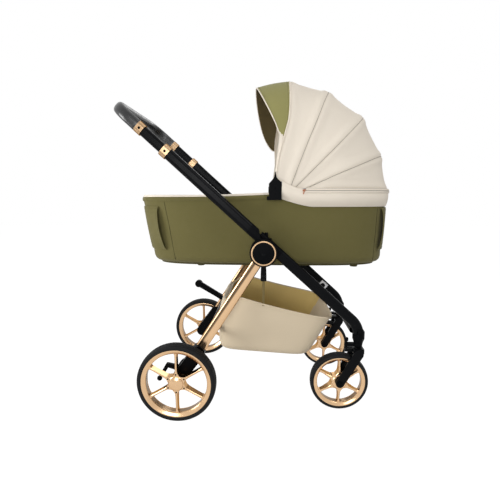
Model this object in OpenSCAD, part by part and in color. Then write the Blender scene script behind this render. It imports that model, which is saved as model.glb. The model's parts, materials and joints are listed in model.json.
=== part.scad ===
// Bassinet pram: a folding frame on four wheels with a lift-off cot and a folding hood.
// Millimetres. +X is forwards, towards the swivel wheels, +Y is the pram's left and +Z is up.

/* [Frame] */
// Height of the fold hub's centre above the floor
hub_z = 556; // [545:1:570]
// Slope of the line of the handle and the front legs, in degrees
main_slope = 42.3; // [41:0.1:44]
// How far that line passes above the hub's centre
main_offset = 27.4; // [24:0.1:30]
// Distance between the centre lines of the two handle tubes
handle_span = 438; // [430:1:450]
// Tube width across the pram
tube_w = 25; // [22:0.5:26]
// Wall of the frame tubes
tube_wall = 1.8; // [1.2:0.1:2.5]
// Slack between parts that pass one another beside the cot
side_gap = 1.5; // [1:0.1:3]
// Radial clearance of pins that turn in holes
run_gap = 0.05; // [0.02:0.01:0.09]

/* [Hub] */
// Radius of the hub covers
hub_r = 45; // [43:0.5:50]
// Outer radius of the gold ring
hub_ring_r = 39.5; // [36:0.5:41]
// Width of the gold ring's face
hub_ring_w = 5; // [3:0.1:6]
// Thickness of the hub covers
hub_cover_t = 10; // [8:0.5:12]
// How far the ring and cap stand out of the cover
hub_ring_out = 3; // [2:0.1:4]
// Radius of the pivot pins
hub_pin_r = 9; // [7:0.5:11]
// Radius of the eyes that turn on the pivot pins
hub_eye_r = 40; // [36:0.5:42]

/* [Handle] */
// Depth of the lower tubes
lower_d = 36.5; // [34:0.5:38]
// Distance from the hub to the telescope collars, along the tubes
lower_len = 443; // [425:1:460]
// Gap between the upper tubes and the lower tubes' bore
slide_gap = 0.3; // [0.2:0.05:0.5]
// How far the upper tubes reach into the lower tubes
slide_in = 150; // [120:1:180]
// Distance from the telescope collars to the grip collars, along the tubes
grip_gap = 108; // [98:1:120]
// Distance from the grip collars to the push bar's crossbar, along the tubes
bar_gap = 115; // [105:1:125]
// Bend radius of the push bar
bar_bend = 72; // [60:1:85]
// Thickness of the leather grip
grip_t = 2.6; // [2:0.1:3.5]
// Length of the gold collars
collar_len = 24; // [20:0.5:28]
// How far the gold collars stand out of the tubes
collar_t = 3; // [2:0.1:4]

/* [Front legs] */
// Leg width across the pram
leg_w = 24; // [22:0.5:25]
// Leg depth
leg_d = 36; // [33:0.5:38]
// Distance between the front wheels' centre planes
front_track = 348; // [340:1:354]
// Distance from the hub forwards to the swivel axis
stem_reach = 326; // [318:1:334]
// Height of the leg's lower end, inside the swivel housing
leg_end_z = 262; // [258:1:268]
// Radius of the front crossbar
front_bar_r = 12; // [9:0.5:14]
// Radius of the swivel housing
housing_r = 20.5; // [20:0.5:24]
// Radius of the swivel housing's lower end
housing_low_r = 13.5; // [12:0.5:16]
// Height of the swivel housing's lower end
housing_z = 225; // [223:0.5:230]
// Height of the swivel housing's upper end
housing_top_z = 288; // [280:1:294]

/* [Casters] */
// Trail of the front wheels behind the swivel axis
trail = 62.5; // [55:0.5:68]
// Front tyre radius
front_tyre_r = 100; // [95:0.5:102]
// Front tyre width
front_tyre_w = 38; // [34:0.5:41]
// Front rim radius, where the tyre sits
front_rim_r = 88; // [84:0.5:90]
// Width of the front rim's face
front_rim_face = 12; // [9:0.5:15]
// Gap between the front tyre and the fork's arms
fork_gap = 3; // [2:0.1:5]
// Thickness of the fork's arms
fork_t = 7; // [5:0.5:9]
// Radius of the fork arms' lower ends
fork_low_r = 14.5; // [13:0.5:18]
// Radius of the fork arms' upper ends
fork_top_r = 16.5; // [15:0.5:19]
// Gap between the front tyre and the fork's crown
crown_gap = 6; // [4:0.5:8]
// Gap between the fork's crown and the swivel housing
crown_play = 3; // [2:0.5:4]
// Radius of the kingpins
king_r = 6; // [5:0.5:7]
// Radius of the front axles
front_axle_r = 5; // [4:0.5:6]
// Distance of the lock pins from the swivel axis
lock_reach = 40; // [38:0.5:44]
// Radius of the lock pins
lock_pin_r = 3; // [2.5:0.1:3.5]
// Radius of the lock knobs
lock_knob_r = 6.5; // [5:0.5:7.5]
// Stroke of the lock pins
lock_stroke = 6; // [4:0.5:7]
// Play of the lock pins in the forks' slots, on each side
lock_play = 1.2; // [0.8:0.1:1.5]

/* [Rear legs] */
// Distance from the hub backwards to the rear axle
rear_reach = 283; // [274:1:292]
// Distance between the rear wheels' centre planes
rear_track = 540; // [534:1:548]
// Rear tyre radius
rear_tyre_r = 131; // [126:0.5:134]
// Rear tyre width
rear_tyre_w = 42; // [38:0.5:44]
// Rear rim radius, where the tyre sits
rear_rim_r = 115.5; // [112:0.5:118]
// Width of the rear rim's face
rear_rim_face = 14; // [11:0.5:17]
// Lean of the rear legs from upright, in degrees
rear_lean = 32.9; // [31.5:0.1:34]
// Rear leg width
rear_leg_d = 36; // [32:0.5:38]
// Rear leg thickness across the pram
rear_leg_t = 20; // [18:0.5:21]
// Length of the rear legs from the hub's centre
rear_leg_len = 422; // [410:1:436]
// Distance of the rear crossbar above the rear legs' lower ends, along them
rear_bar_up = 94; // [80:1:110]
// Radius of the rear crossbar
rear_bar_r = 11; // [8:0.5:13]
// Radius of the rear axles
rear_axle_r = 6; // [5:0.5:7]
// Radius of the wheel shoes
shoe_r = 23; // [21:0.5:25]
// Gap between the wheel shoes and the rear tyres
shoe_gap = 3; // [2:0.1:5]

/* [Wheels] */
// Number of spokes
spoke_count = 6; // [5:1:8]
// Spoke width at the wheel's hub
spoke_w = 12; // [9:0.5:16]
// Spoke width at the rim
spoke_tip_w = 8; // [6:0.5:11]
// Radius of the wheels' hubs
wheel_hub_r = 26; // [23:0.5:29]
// Radius of the domed caps
wheel_cap_r = 23; // [20:0.5:25]

/* [Pedals] */
// Length of the fold pedal
fold_pedal_len = 104; // [90:1:115]
// Tilt of the fold pedal above level, in degrees
fold_pedal_tilt = 31; // [26:1:36]
// Radius of the pedals' pins
pedal_pin_r = 4; // [3.5:0.5:5]
// Radius of the fold pedal's round end
fold_pedal_end_r = 16; // [13:0.5:18]
// Radius of the fold pedal's arm beside its round end
fold_pedal_arm_r = 12.5; // [10:0.5:14]
// Radius of the fold pedal's eye
fold_pedal_eye_r = 11; // [9:0.5:12]
// Distance of the fold pedal's pin above the rear legs' lower ends, along them
fold_pedal_up = 90; // [80:1:105]
// Gap between the fold pedal and the rear leg
fold_pedal_gap = 1.5; // [1:0.1:3]
// How far the brake pedal's pin stands behind the rear axle
brake_pin_back = 8; // [5:0.5:12]
// How far the brake pedal's pin stands above the rear axle
brake_pin_up = 16; // [12:0.5:20]
// How far the brake pedal reaches back from its pin
brake_reach = 70; // [60:1:80]
// How far the brake pedal's ball hangs below its pin
brake_drop = 40; // [30:1:50]
// Thickness of the pedals
pedal_t = 12; // [10:0.5:13]
// Radius of the brake pedal's ball
brake_ball_r = 9; // [8:0.5:11]

/* [Cot] */
// Height of the cot's rim
cot_rim_z = 744; // [738:1:752]
// Height of the cot's underside
cot_low_z = 505; // [498:1:512]
// Height where the cot's sides begin to flare
cot_belt_z = 606; // [596:1:616]
// Half of the cot's length at the rim
cot_half_len = 436; // [426:1:444]
// Distance of the rim's middle in front of the hub
cot_mid = -6; // [-14:1:2]
// Half of the cot's length at the underside
cot_low_len = 413; // [404:1:420]
// Distance of the underside's middle in front of the hub
cot_low_mid = 8; // [0:1:16]
// Half of the cot's width at the underside
cot_low_half = 158; // [150:1:164]
// Squareness of the cot's outline
cot_square = 3.6; // [3:0.1:4.5]
// Wall of the cot's shell
cot_wall = 6; // [5:0.5:8]
// Height of the mattress
mattress_t = 50; // [40:1:60]
// Height of the cot's feet
foot_h = 8; // [6:0.5:10]
// Distance of the cot's feet behind and in front of the hub
foot_x = [-226, 318];
// Distance of the cot's feet from the middle
foot_y = 96; // [80:1:110]
// Half of the end straps' width
strap_half = 130; // [118:1:138]
// Height of the end straps' sewn lower edge
strap_low_z = 566; // [560:1:580]
// Height of the end straps' sewn upper edge
strap_top_z = 702; // [690:1:708]
// How far the end straps stand away from the cot
strap_out = 9; // [7:0.5:11]

/* [Hood] */
// Distance of the hood's hinge in front of the hub
hood_x = 35; // [30:1:40]
// Height of the hood's hinge
hood_z = 762; // [758:1:766]
// Distance in front of the hinge where the rear bows' lines meet
fan_x = 38; // [32:1:44]
// Distance below the hinge where the rear bows' lines meet
fan_drop = 26; // [20:1:30]
// Angle of the front bow above level, in degrees
bow0_angle = 83.5; // [82:0.1:85]
// Angle of the second bow above level, in degrees
bow1_angle = 66.8; // [65:0.1:69]
// Angle of the third bow above level, in degrees
bow2_angle = 45.2; // [43:0.1:47]
// Angle of the fourth bow above level, in degrees
bow3_angle = 22; // [20:0.1:24]
// Reach of the front bow from the hinge
bow0_r = 372; // [362:1:380]
// Reach of the second bow
bow1_r = 388; // [380:1:396]
// Reach of the third bow
bow2_r = 384; // [376:1:392]
// Reach of the fourth bow
bow3_r = 366; // [358:1:372]
// Thickness of a bow's strip
bow_t = 1.6; // [1.2:0.1:2]
// Width of a bow's strip
bow_w = 9; // [7:0.5:10]
// Thickness of the hood's cloth
cloth_t = 2; // [1.5:0.1:2.5]
// Thickness of the hood brackets
bracket_t = 3; // [2.5:0.1:3.5]
// Width of the hood brackets
bracket_w = 41; // [36:0.5:46]
// Height of the hood brackets' tips
bracket_top_z = 813; // [805:1:825]
// Height of the hood brackets' shoulders
bracket_shoulder_z = 780; // [770:1:790]
// How far the hood brackets stand in front of the hinge
bracket_ahead = 1; // [-3:0.5:5]
// Length of the visor at its middle
visor_len = 103; // [95:1:115]
// How far the visor falls towards its tip
visor_drop = 16; // [8:1:24]
// Height of the apron's lower edge at the head
apron_low_z = 702; // [694:1:710]
// How much higher the apron's lower edge is at the brackets
apron_rise = 25; // [18:1:32]
// Distance over which the apron's lower edge rises
apron_run = 105; // [90:1:120]
// Height of the apron's upper edge beside the brackets
apron_shoulder_z = 784; // [778:1:790]
// Distance over which the apron's upper edge falls
apron_fall = 80; // [70:1:100]
// Height of the apron's upper edge at the head
apron_top_z = 758; // [755:1:762]

/* [Basket] */
// Distance of the basket's rear upper edge from the hub, forwards
basket_top_x0 = -70; // [-76:1:-62]
// Distance of the basket's front upper edge from the hub, forwards
basket_top_x1 = 242; // [232:1:246]
// Distance of the basket's rear lower edge from the hub, forwards
basket_low_x0 = -180; // [-186:1:-170]
// Distance of the basket's front lower edge from the hub, forwards
basket_low_x1 = 168; // [158:1:174]
// Height of the basket's rear upper edge
basket_top_z0 = 406; // [396:1:412]
// Height of the basket's front upper edge
basket_top_z1 = 318; // [310:1:324]
// Height of the basket's rear underside
basket_low_z0 = 194; // [188:1:204]
// Height of the basket's front underside
basket_low_z1 = 175; // [170:1:182]
// Half of the basket's width at the top
basket_half = 184; // [176:1:186]
// Half of the basket's width at the underside
basket_low_half = 152; // [140:1:160]
// Thickness of the basket's cloth
basket_t = 2.5; // [2:0.1:3.5]
// Width of the basket's straps
basket_strap_w = 17; // [12:0.5:22]

/* [Hidden] */
$fn = 96;
handle_y = handle_span / 2;
tube_in = handle_y - tube_w / 2;
tube_out = handle_y + tube_w / 2;
bracket_out = tube_in - side_gap;
bracket_in = bracket_out - bracket_t;
hood_out = bracket_in - 0.4;
layer = bow_t + 0.4;
cloth_gap = 0.9;
cloth_rise = 2.4;
bow0_y = hood_out - cloth_t - cloth_gap;
bow1_y = bow0_y - layer;
bow2_y = bow1_y - layer;
bow3_y = bow2_y - layer;
cot_half = bow3_y - bow_t - side_gap;
leg_hub_y = tube_in - side_gap - 1 - leg_w / 2;
leg_in = leg_hub_y - leg_w / 2;
leg_out = leg_hub_y + leg_w / 2;
cot_belt_half = leg_in - 5;
stem_y = front_track / 2;
rear_y = rear_track / 2;
strap_x = strap_out - 1;
apron_clear = 4.3;
apron_t = 2;
apron_out = apron_clear + apron_t;
upper_d = lower_d - 2 * tube_wall - 2 * slide_gap;
upper_w = tube_w - 2 * tube_wall - 2 * slide_gap;
grip_d = upper_d + 2 * grip_t + 0.2;
grip_w = upper_w + 2 * grip_t + 0.2;
grip_at = lower_len + grip_gap;
bar_at = grip_at + bar_gap;
grip_rear = sin(main_slope) * main_offset - cos(main_slope) * bar_at
    - sin(main_slope) * (grip_d - grip_w) / 2 - grip_w / 2;
cot_front = cot_mid + cot_half_len + apron_out;
hub_x = -(grip_rear + cot_front) / 2;
stem_x = hub_x + stem_reach;
front_x = stem_x - trail;
rear_x = hub_x - rear_reach;
leg_run = (stem_reach - sin(main_slope) * main_offset) / cos(main_slope);
leg_meet_z = hub_z + cos(main_slope) * main_offset - sin(main_slope) * leg_run;
leg_bend = (leg_meet_z - leg_end_z) / tan((90 - main_slope) / 2);
leg_straight = leg_run - leg_bend * tan((90 - main_slope) / 2);
leg_start = hub_r + 3;
leg_top = -46;
yaw = atan((leg_hub_y - stem_y) / (stem_reach - leg_start * cos(main_slope) - main_offset *
    sin(main_slope)));
front_bar_in = leg_bend - leg_d / 2 + 3;
front_bar_x = stem_x - leg_bend + front_bar_in * cos(17);
front_bar_z = leg_end_z + front_bar_in * sin(17);
crown_z = 2 * front_tyre_r + crown_gap;
crown_top = housing_z - crown_play;
fork_in = front_tyre_w / 2 + fork_gap;
fork_out = fork_in + fork_t;
lock_x = stem_x - lock_reach;
lock_lug_z = housing_z + 3;
lock_lug_t = 10;
eye_mid = handle_y;
rear_leg_y = tube_out - rear_leg_t / 2;
cover_y = tube_out + side_gap;
socket_at = hub_r + 18;
socket_len = 24;
spigot_len = 40;
neck_in = 1.5;
neck_h = 15;
neck_from = 20;
tube_cut = 36;
eye_clear = hub_eye_r + side_gap;
button_x = 8;
button_r = 6;
button_z = hub_z + (main_offset + leg_d / 2 - (button_x + button_r) * sin(main_slope)) / cos(main_slope);
shoe_out = rear_y - rear_tyre_w / 2 - shoe_gap;
shoe_in = tube_out - rear_leg_t - 3;
rear_dir = [-sin(rear_lean), -cos(rear_lean)];
rear_end = [hub_x + rear_dir[0] * (rear_leg_len - 22), hub_z + rear_dir[1] * (rear_leg_len - 22)];
rear_bar_at = rear_leg_len - rear_bar_up;
pedal_off = rear_leg_d / 2 + fold_pedal_eye_r + fold_pedal_gap;
pedal_at = rear_leg_len - fold_pedal_up;
fold_pin = [hub_x + rear_dir[0] * pedal_at + rear_dir[1] * pedal_off,
    hub_z + rear_dir[1] * pedal_at - rear_dir[0] * pedal_off];
brake_pin = [rear_x - brake_pin_back, rear_tyre_r + brake_pin_up];
hood_px = hub_x + hood_x;
bracket_x0 = hood_px - bracket_w / 2 + bracket_ahead;
bracket_x1 = bracket_x0 + bracket_w;
bracket_low = cot_rim_z - 20;
bracket_foot = 12;
apron_edge = bracket_x1 + 1;
skirt_corner = 185;
bow_reach = [bow0_r, bow1_r, bow2_r, bow3_r];
bow_angle = [bow0_angle, bow1_angle, bow2_angle, bow3_angle];
bow_half = [bow0_y, bow1_y, bow2_y, bow3_y];
hood_pin_r = 4;
bow_eye_r = 8;
bow_foot = 74;
bow_step = 0.1;

// Helpers
function sgn(v) = v < 0 ? -1 : 1;
function mix(a, b, t) = a + (b - a) * t;
function squared(a, b, n, t) = [a * sgn(cos(t)) * pow(abs(cos(t)), 2 / n),
    b * sgn(sin(t)) * pow(abs(sin(t)), 2 / n)];

module both() {
    children();
    mirror([0, 1, 0]) children();
}

module right() {
    mirror([0, 1, 0]) children();
}

module oval(d, w) {
    square([d - w, w], center = true);
    for (s = [-1, 1]) translate([s * (d - w) / 2, 0]) circle(d = w);
}

// A flat bar with round ends, in the XZ plane, running from y0 to y1
module bar(p, r, q, s, y0, y1) {
    len = norm(q - p);
    turn = atan2(q[1] - p[1], q[0] - p[0]);
    flank = 0.985;
    translate([p[0], y1, p[1]]) rotate([90, 0, 0]) linear_extrude(y1 - y0) rotate(turn) union() {
        circle(r);
        translate([len, 0]) circle(s);
        polygon([[0, r * flank], [len, s * flank], [len, -s * flank], [0, -r * flank]]);
    }
}

// A cylinder along Y in the XZ plane
module rod(p, r, y0, y1) {
    translate([p[0], y1, p[1]]) rotate([90, 0, 0]) cylinder(r = r, h = y1 - y0);
}

// The line of the handle and front legs: local +X runs down to the front wheels
module main_line(y = 0) {
    translate([hub_x, y, hub_z]) rotate([0, main_slope, 0]) translate([0, 0, main_offset]) children();
}

module tube_run(x0, x1, d, w) {
    translate([x0, 0, 0]) rotate([0, 90, 0]) linear_extrude(x1 - x0) oval(d, w);
}

// A closed solid through a list of rings, capped at both ends
module loft(rings) {
    m = len(rings[0]);
    k = len(rings);
    pts = [for (r = rings) for (p = r) p];
    sides = [for (i = [0:k - 2]) for (j = [0:m - 1]) let (a = i * m + j, b = i * m + (j + 1) % m)
        for (f = [[a, a + m, b + m], [a, b + m, b]]) f];
    low = [for (j = [0:m - 1]) j];
    top = [for (j = [0:m - 1]) k * m - 1 - j];
    polyhedron(points = pts, faces = concat(sides, [low], [top]), convexity = 6);
}

// A closed sheet between two grids of points of the same size
module sheet(outer, inner) {
    n = len(outer);
    m = len(outer[0]);
    o = n * m;
    pts = concat([for (r = outer) for (p = r) p], [for (r = inner) for (p = r) p]);
    quads = concat(
        [for (i = [0:n - 2]) for (j = [0:m - 2]) [i * m + j, i * m + j + 1, (i + 1) * m + j + 1,
            (i + 1) * m + j]],
        [for (i = [0:n - 2]) for (j = [0:m - 2])
            [o + i * m + j, o + (i + 1) * m + j, o + (i + 1) * m + j + 1, o + i * m + j + 1]],
        [for (i = [0:n - 2]) [i * m, (i + 1) * m, o + (i + 1) * m, o + i * m]],
        [for (i = [0:n - 2]) [i * m + m - 1, o + i * m + m - 1, o + (i + 1) * m + m - 1,
            (i + 1) * m + m - 1]],
        [for (j = [0:m - 2]) [j, o + j, o + j + 1, j + 1]],
        [for (j = [0:m - 2]) let (a = (n - 1) * m + j) [a, a + 1, o + a + 1, o + a]]);
    faces = [for (q = quads) for (f = [[q[0], q[1], q[2]], [q[0], q[2], q[3]]]) f];
    polyhedron(points = pts, faces = faces, convexity = 6);
}

// Front legs
function oval_ring(d, w, n = 12) = concat(
    [for (i = [0:n]) let (a = -90 + 180 * i / n) [(d - w) / 2 + w / 2 * cos(a), w / 2 * sin(a)]],
    [for (i = [0:n]) let (a = 90 + 180 * i / n) [-(d - w) / 2 + w / 2 * cos(a), w / 2 * sin(a)]]);
function leg_station(at, turn, d, w) = [for (p = oval_ring(d, w))
    [at[0] + p[0] * cos(turn), -p[1], at[1] + p[0] * sin(turn)]];
function line_spot(along) = [hub_x + along * cos(main_slope) + main_offset * sin(main_slope),
    hub_z - along * sin(main_slope) + main_offset * cos(main_slope)];
function bend_spot(turn) = [stem_x - leg_bend + leg_bend * cos(turn), leg_end_z + leg_bend * sin(turn)];

module leg_solid(d, w, from, past = 0) {
    steps = 10;
    full = 90 - main_slope;
    translate([stem_x, stem_y, 0]) rotate([0, 0, -yaw]) translate([-stem_x, 0, 0]) loft(concat(
        [leg_station(line_spot(from), full, d, w)],
        [for (k = [0:steps]) leg_station(bend_spot(full * (1 - k / steps)), full * (1 - k / steps), d, w)],
        past > 0 ? [leg_station(bend_spot(0) - [0, past], 0, d, w)] : []));
}

module front_leg() {
    color([0.05, 0.05, 0.05]) difference() {
        leg_solid(leg_d, leg_w, leg_start - 8);
        leg_solid(leg_d - 2 * tube_wall, leg_w - 2 * tube_wall, leg_start + 6, 1);
        main_line(leg_hub_y) translate([leg_top, -leg_d, -leg_d])
            cube([leg_start - leg_top + 0.05, 2 * leg_d, 2 * leg_d]);
    }
}

module front_leg_left() {
    front_leg();
}

module front_leg_right() {
    right() front_leg();
}

module front_crossbar() {
    reach = stem_y - leg_w / 2 + 3;
    color([0.05, 0.05, 0.05]) difference() {
        rod([front_bar_x, front_bar_z], front_bar_r, -reach, reach);
        rod([front_bar_x, front_bar_z], front_bar_r - tube_wall, -reach - 1, reach + 1);
    }
}

module swivel_housings() {
    color([0.06, 0.06, 0.06]) both() difference() {
        union() {
            translate([stem_x, stem_y, 0]) rotate_extrude() polygon([[0, housing_z], [housing_low_r,
                housing_z],
                [housing_low_r + 1.5, housing_z + 14], [housing_r, leg_end_z - 8], [housing_r,
                    housing_top_z - 10],
                [housing_r - 6, housing_top_z], [0, housing_top_z]]);
            translate([lock_x, stem_y, lock_lug_z]) cylinder(r = lock_pin_r + 4.5, h = lock_lug_t);
            translate([lock_x, stem_y - lock_pin_r - 4.5, lock_lug_z])
                cube([lock_reach, 2 * lock_pin_r + 9, lock_lug_t]);
        }
        leg_solid(leg_d + 0.2, leg_w + 0.2, leg_start);
        rod([front_bar_x, front_bar_z], front_bar_r + 0.1, 0, stem_y + housing_r + 1);
        translate([stem_x, stem_y, housing_z - 1]) cylinder(r = king_r + run_gap,
            h = leg_end_z - housing_z - 3);
        translate([lock_x, stem_y, lock_lug_z - 1]) cylinder(r = lock_pin_r + run_gap, h = lock_lug_t + 2);
    }
}

module leg_lugs() {
    spot = leg_straight - 62;
    hole = 10;
    ring = 17;
    lug_t = 4;
    drop = 4;
    color([0.5, 0.5, 0.5]) both()
        translate([stem_x, stem_y, 0]) rotate([0, 0, -yaw]) translate([-stem_x, 0, 0]) main_line()
            translate([spot, -leg_w / 2 - 0.1, -drop]) rotate([90, 0,
                0]) linear_extrude(lug_t) difference() {
                union() {
                    circle(ring);
                    translate([-ring, 0]) square([2 * ring, ring - 1]);
                }
                circle(hole);
            }
}

// Hub
module hub_housings() {
    color([0.05, 0.05, 0.05]) both() difference() {
        union() {
            rod([hub_x, hub_z], hub_r, leg_in + 0.2, leg_out - 0.2);
            main_line(leg_hub_y) tube_run(leg_top, leg_start, leg_d, leg_w);
        }
        rod([hub_x, hub_z], hub_pin_r + 0.02, leg_in + 4, leg_out + 1);
        rod([hub_x, hub_z], hub_r - 20, leg_in + 9, leg_out - 5);
        translate([hub_x + button_x, leg_hub_y, button_z - 20]) cylinder(r = button_r + run_gap, h = 50);
    }
}

module hub_covers() {
    color([0.04, 0.04, 0.04]) both() translate([hub_x, cover_y, hub_z]) rotate([-90, 0, 0]) difference() {
        rotate_extrude() polygon([[0, 0], [hub_r - 1.5, 0], [hub_r, 1.5], [hub_r, hub_cover_t - 3],
            [hub_r - 3, hub_cover_t], [hub_ring_r, hub_cover_t], [hub_ring_r, hub_cover_t - 2],
            [hub_ring_r - hub_ring_w, hub_cover_t - 2], [hub_ring_r - hub_ring_w,
                hub_cover_t + hub_ring_out],
            [0, hub_cover_t + hub_ring_out + 1]]);
        translate([0, 0, -1]) cylinder(r = hub_pin_r + 0.02, h = 7);
    }
}

module hub_rings() {
    color([0.85, 0.66, 0.46]) both() translate([hub_x, cover_y + hub_cover_t - 1.98,
        hub_z]) rotate([-90, 0, 0])
        rotate_extrude() translate([hub_ring_r - hub_ring_w + 0.02, 0])
            polygon([[0, 0], [hub_ring_w - 0.04, 0], [hub_ring_w - 0.04, hub_ring_out + 1],
                [hub_ring_w - 1, hub_ring_out + 2], [1, hub_ring_out + 2], [0, hub_ring_out + 1]]);
}

module hub_pins() {
    color([0.6, 0.6, 0.62]) both() rod([hub_x, hub_z], hub_pin_r, leg_in + 4.1, cover_y + 5.9);
}

module cot_adapters() {
    shelf = 12;
    color([0.07, 0.07, 0.07]) both() difference() {
        translate([hub_x - 26, leg_in - 13.1, hub_z - 34]) cube([52, 13, 76]);
        translate([hub_x - 18.3, leg_in - 14, hub_z - 34 + shelf]) cube([36.6, 11, 90]);
        loft([cot_ring(cot_low_z + 10, -1.5), cot_ring(cot_belt_z, -1.5), cot_ring(cot_rim_z - 8, -1.5)]);
    }
}

module cot_button() {
    color([0.08, 0.08, 0.08]) union() {
        translate([hub_x + button_x, leg_hub_y, button_z - 15]) cylinder(r = button_r, h = 26);
        translate([hub_x + button_x, leg_hub_y, button_z + 11]) cylinder(r1 = button_r,
            r2 = button_r - 1.5, h = 2.5);
    }
}

module cot_button_left() {
    cot_button();
}

module cot_button_right() {
    right() cot_button();
}

// Handle
module handle_tubes() {
    color([0.05, 0.05, 0.05]) both() main_line(handle_y) difference() {
        tube_run(-lower_len, -socket_at - socket_len, lower_d, tube_w);
        tube_run(-lower_len - 1, -socket_at - socket_len + 1, lower_d - 2 * tube_wall,
            tube_w - 2 * tube_wall);
    }
}

module handle_knuckles() {
    color([0.05, 0.05, 0.05]) both() difference() {
        union() {
            rod([hub_x, hub_z], hub_eye_r, tube_in, eye_mid - side_gap / 2);
            main_line(handle_y) {
                translate([-socket_at - 2, -tube_w / 2 + neck_in, -neck_h - neck_in])
                    cube([socket_at - neck_from, tube_w / 2 - side_gap / 2 - 2 * neck_in, neck_h]);
                tube_run(-socket_at - socket_len - spigot_len, -socket_at - 5,
                    lower_d - 2 * tube_wall - 0.1,
                    tube_w - 2 * tube_wall - 0.1);
            }
            difference() {
                main_line(handle_y) tube_run(-socket_at - socket_len + 0.05, -neck_from, lower_d, tube_w);
                rod([hub_x, hub_z], eye_clear, tube_in - 1, tube_out + 1);
                translate([hub_x, tube_out + 1, hub_z]) rotate([0, main_slope, 0]) rotate([90, 0, 0])
                    linear_extrude(tube_w + 2) polygon([[0, 0], 3 * hub_r * [-cos(tube_cut), sin(tube_cut)],
                        [hub_r, 3 * hub_r * sin(tube_cut)], [hub_r, 0]]);
            }
        }
        rod([hub_x, hub_z], hub_pin_r + run_gap, tube_in - 1, tube_out + 1);
    }
}

module collar(at, d, w) {
    main_line(handle_y) difference() {
        tube_run(-at - collar_len / 2, -at + collar_len / 2, d + 2 * collar_t, w + 2 * collar_t - 1);
        tube_run(-at - collar_len, -at + collar_len, d + 0.1, w + 0.1);
    }
}

module handle_collars() {
    color([0.85, 0.66, 0.46]) both() main_line(handle_y) difference() {
        tube_run(-lower_len - collar_len * 0.6, -lower_len + collar_len * 0.4, lower_d + 2 * collar_t,
            tube_w + 2 * side_gap - 1);
        tube_run(-lower_len, -lower_len + collar_len, lower_d + 0.06, tube_w + 0.06);
        tube_run(-lower_len - collar_len, -lower_len + collar_len, upper_d + 2 * slide_gap,
            upper_w + 2 * slide_gap);
    }
}

module bar_path(d, w, from) {
    main_line() {
        for (s = [-1, 1]) translate([0, s * handle_y, 0]) tube_run(-bar_at + bar_bend, from, d, w);
        for (s = [-1, 1]) translate([-bar_at + bar_bend, s * (handle_y - bar_bend), 0]) scale([1, s, 1])
            rotate([0, 0, 90]) rotate_extrude(angle = 90) translate([bar_bend, 0]) rotate(90) oval(d, w);
        translate([-bar_at, handle_y - bar_bend, 0]) rotate([90, 0, 0])
            linear_extrude(2 * (handle_y - bar_bend)) rotate(90) oval(d, w);
    }
}

module push_bar() {
    color([0.09, 0.09, 0.09]) difference() {
        bar_path(upper_d, upper_w, -lower_len + slide_in);
        bar_path(upper_d - 2 * tube_wall, upper_w - 2 * tube_wall, -lower_len + slide_in + 1);
    }
}

module grip() {
    color([0.1, 0.1, 0.1]) difference() {
        bar_path(grip_d, grip_w, -grip_at - collar_len / 2 - 0.1);
        bar_path(upper_d + 0.1, upper_w + 0.1, -grip_at + collar_len);
    }
}

module grip_collars() {
    color([0.85, 0.66, 0.46]) both() collar(grip_at, upper_d, upper_w);
}

// Rear legs
module rear_frame(y = 0) {
    translate([hub_x, y, hub_z]) rotate([0, 90 + rear_lean, 0]) children();
}

module rear_leg_solid(d, t, to) {
    rear_frame(rear_leg_y) tube_run(eye_clear, to, d, t);
}

module rear_leg() {
    eye_in = eye_mid + side_gap / 2;
    color([0.85, 0.66, 0.46]) difference() {
        union() {
            difference() {
                rear_leg_solid(rear_leg_d, rear_leg_t, rear_leg_len);
                rear_frame(rear_leg_y) tube_run(eye_clear + 16, rear_leg_len + 1,
                    rear_leg_d - 2 * tube_wall,
                    rear_leg_t - 2 * tube_wall);
            }
            rod([hub_x, hub_z], hub_eye_r, eye_in, tube_out);
            rear_frame() translate([hub_eye_r - 25, eye_in, -rear_leg_d / 2 + 9])
                cube([eye_clear - hub_eye_r + 30, tube_out - eye_in, rear_leg_d - 18]);
        }
        rod([hub_x, hub_z], hub_pin_r + run_gap, tube_in, tube_out + 1);
    }
}

module rear_leg_left() {
    rear_leg();
}

module rear_leg_right() {
    right() rear_leg();
}

module rear_crossbar() {
    spot = [hub_x + rear_dir[0] * rear_bar_at, hub_z + rear_dir[1] * rear_bar_at];
    reach = tube_out - rear_leg_t + tube_wall;
    color([0.06, 0.06, 0.06]) {
        difference() {
            rod(spot, rear_bar_r, -reach, reach);
            rod(spot, rear_bar_r - tube_wall, -reach - 1, reach + 1);
        }
        both() difference() {
            rod(spot, rear_bar_r + 4, reach - tube_wall - 14, reach - tube_wall - 0.05);
            rod(spot, rear_bar_r - 0.5, 0, reach);
        }
        difference() {
            union() {
                for (s = [-1, 1]) let (y = rear_leg_y + s * (pedal_t / 2 + 2.4))
                    bar(fold_pin, fold_pedal_eye_r - 1, fold_pin - pedal_off * [rear_dir[1], -rear_dir[0]],
                        fold_pedal_eye_r, y - 1.5, y + 1.5);
                rod(fold_pin, pedal_pin_r, rear_leg_y - pedal_t / 2 - 3, rear_leg_y + pedal_t / 2 + 3);
            }
            rear_leg_solid(rear_leg_d + 0.1, rear_leg_t + 0.1, rear_leg_len + 0.05);
        }
    }
}

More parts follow.
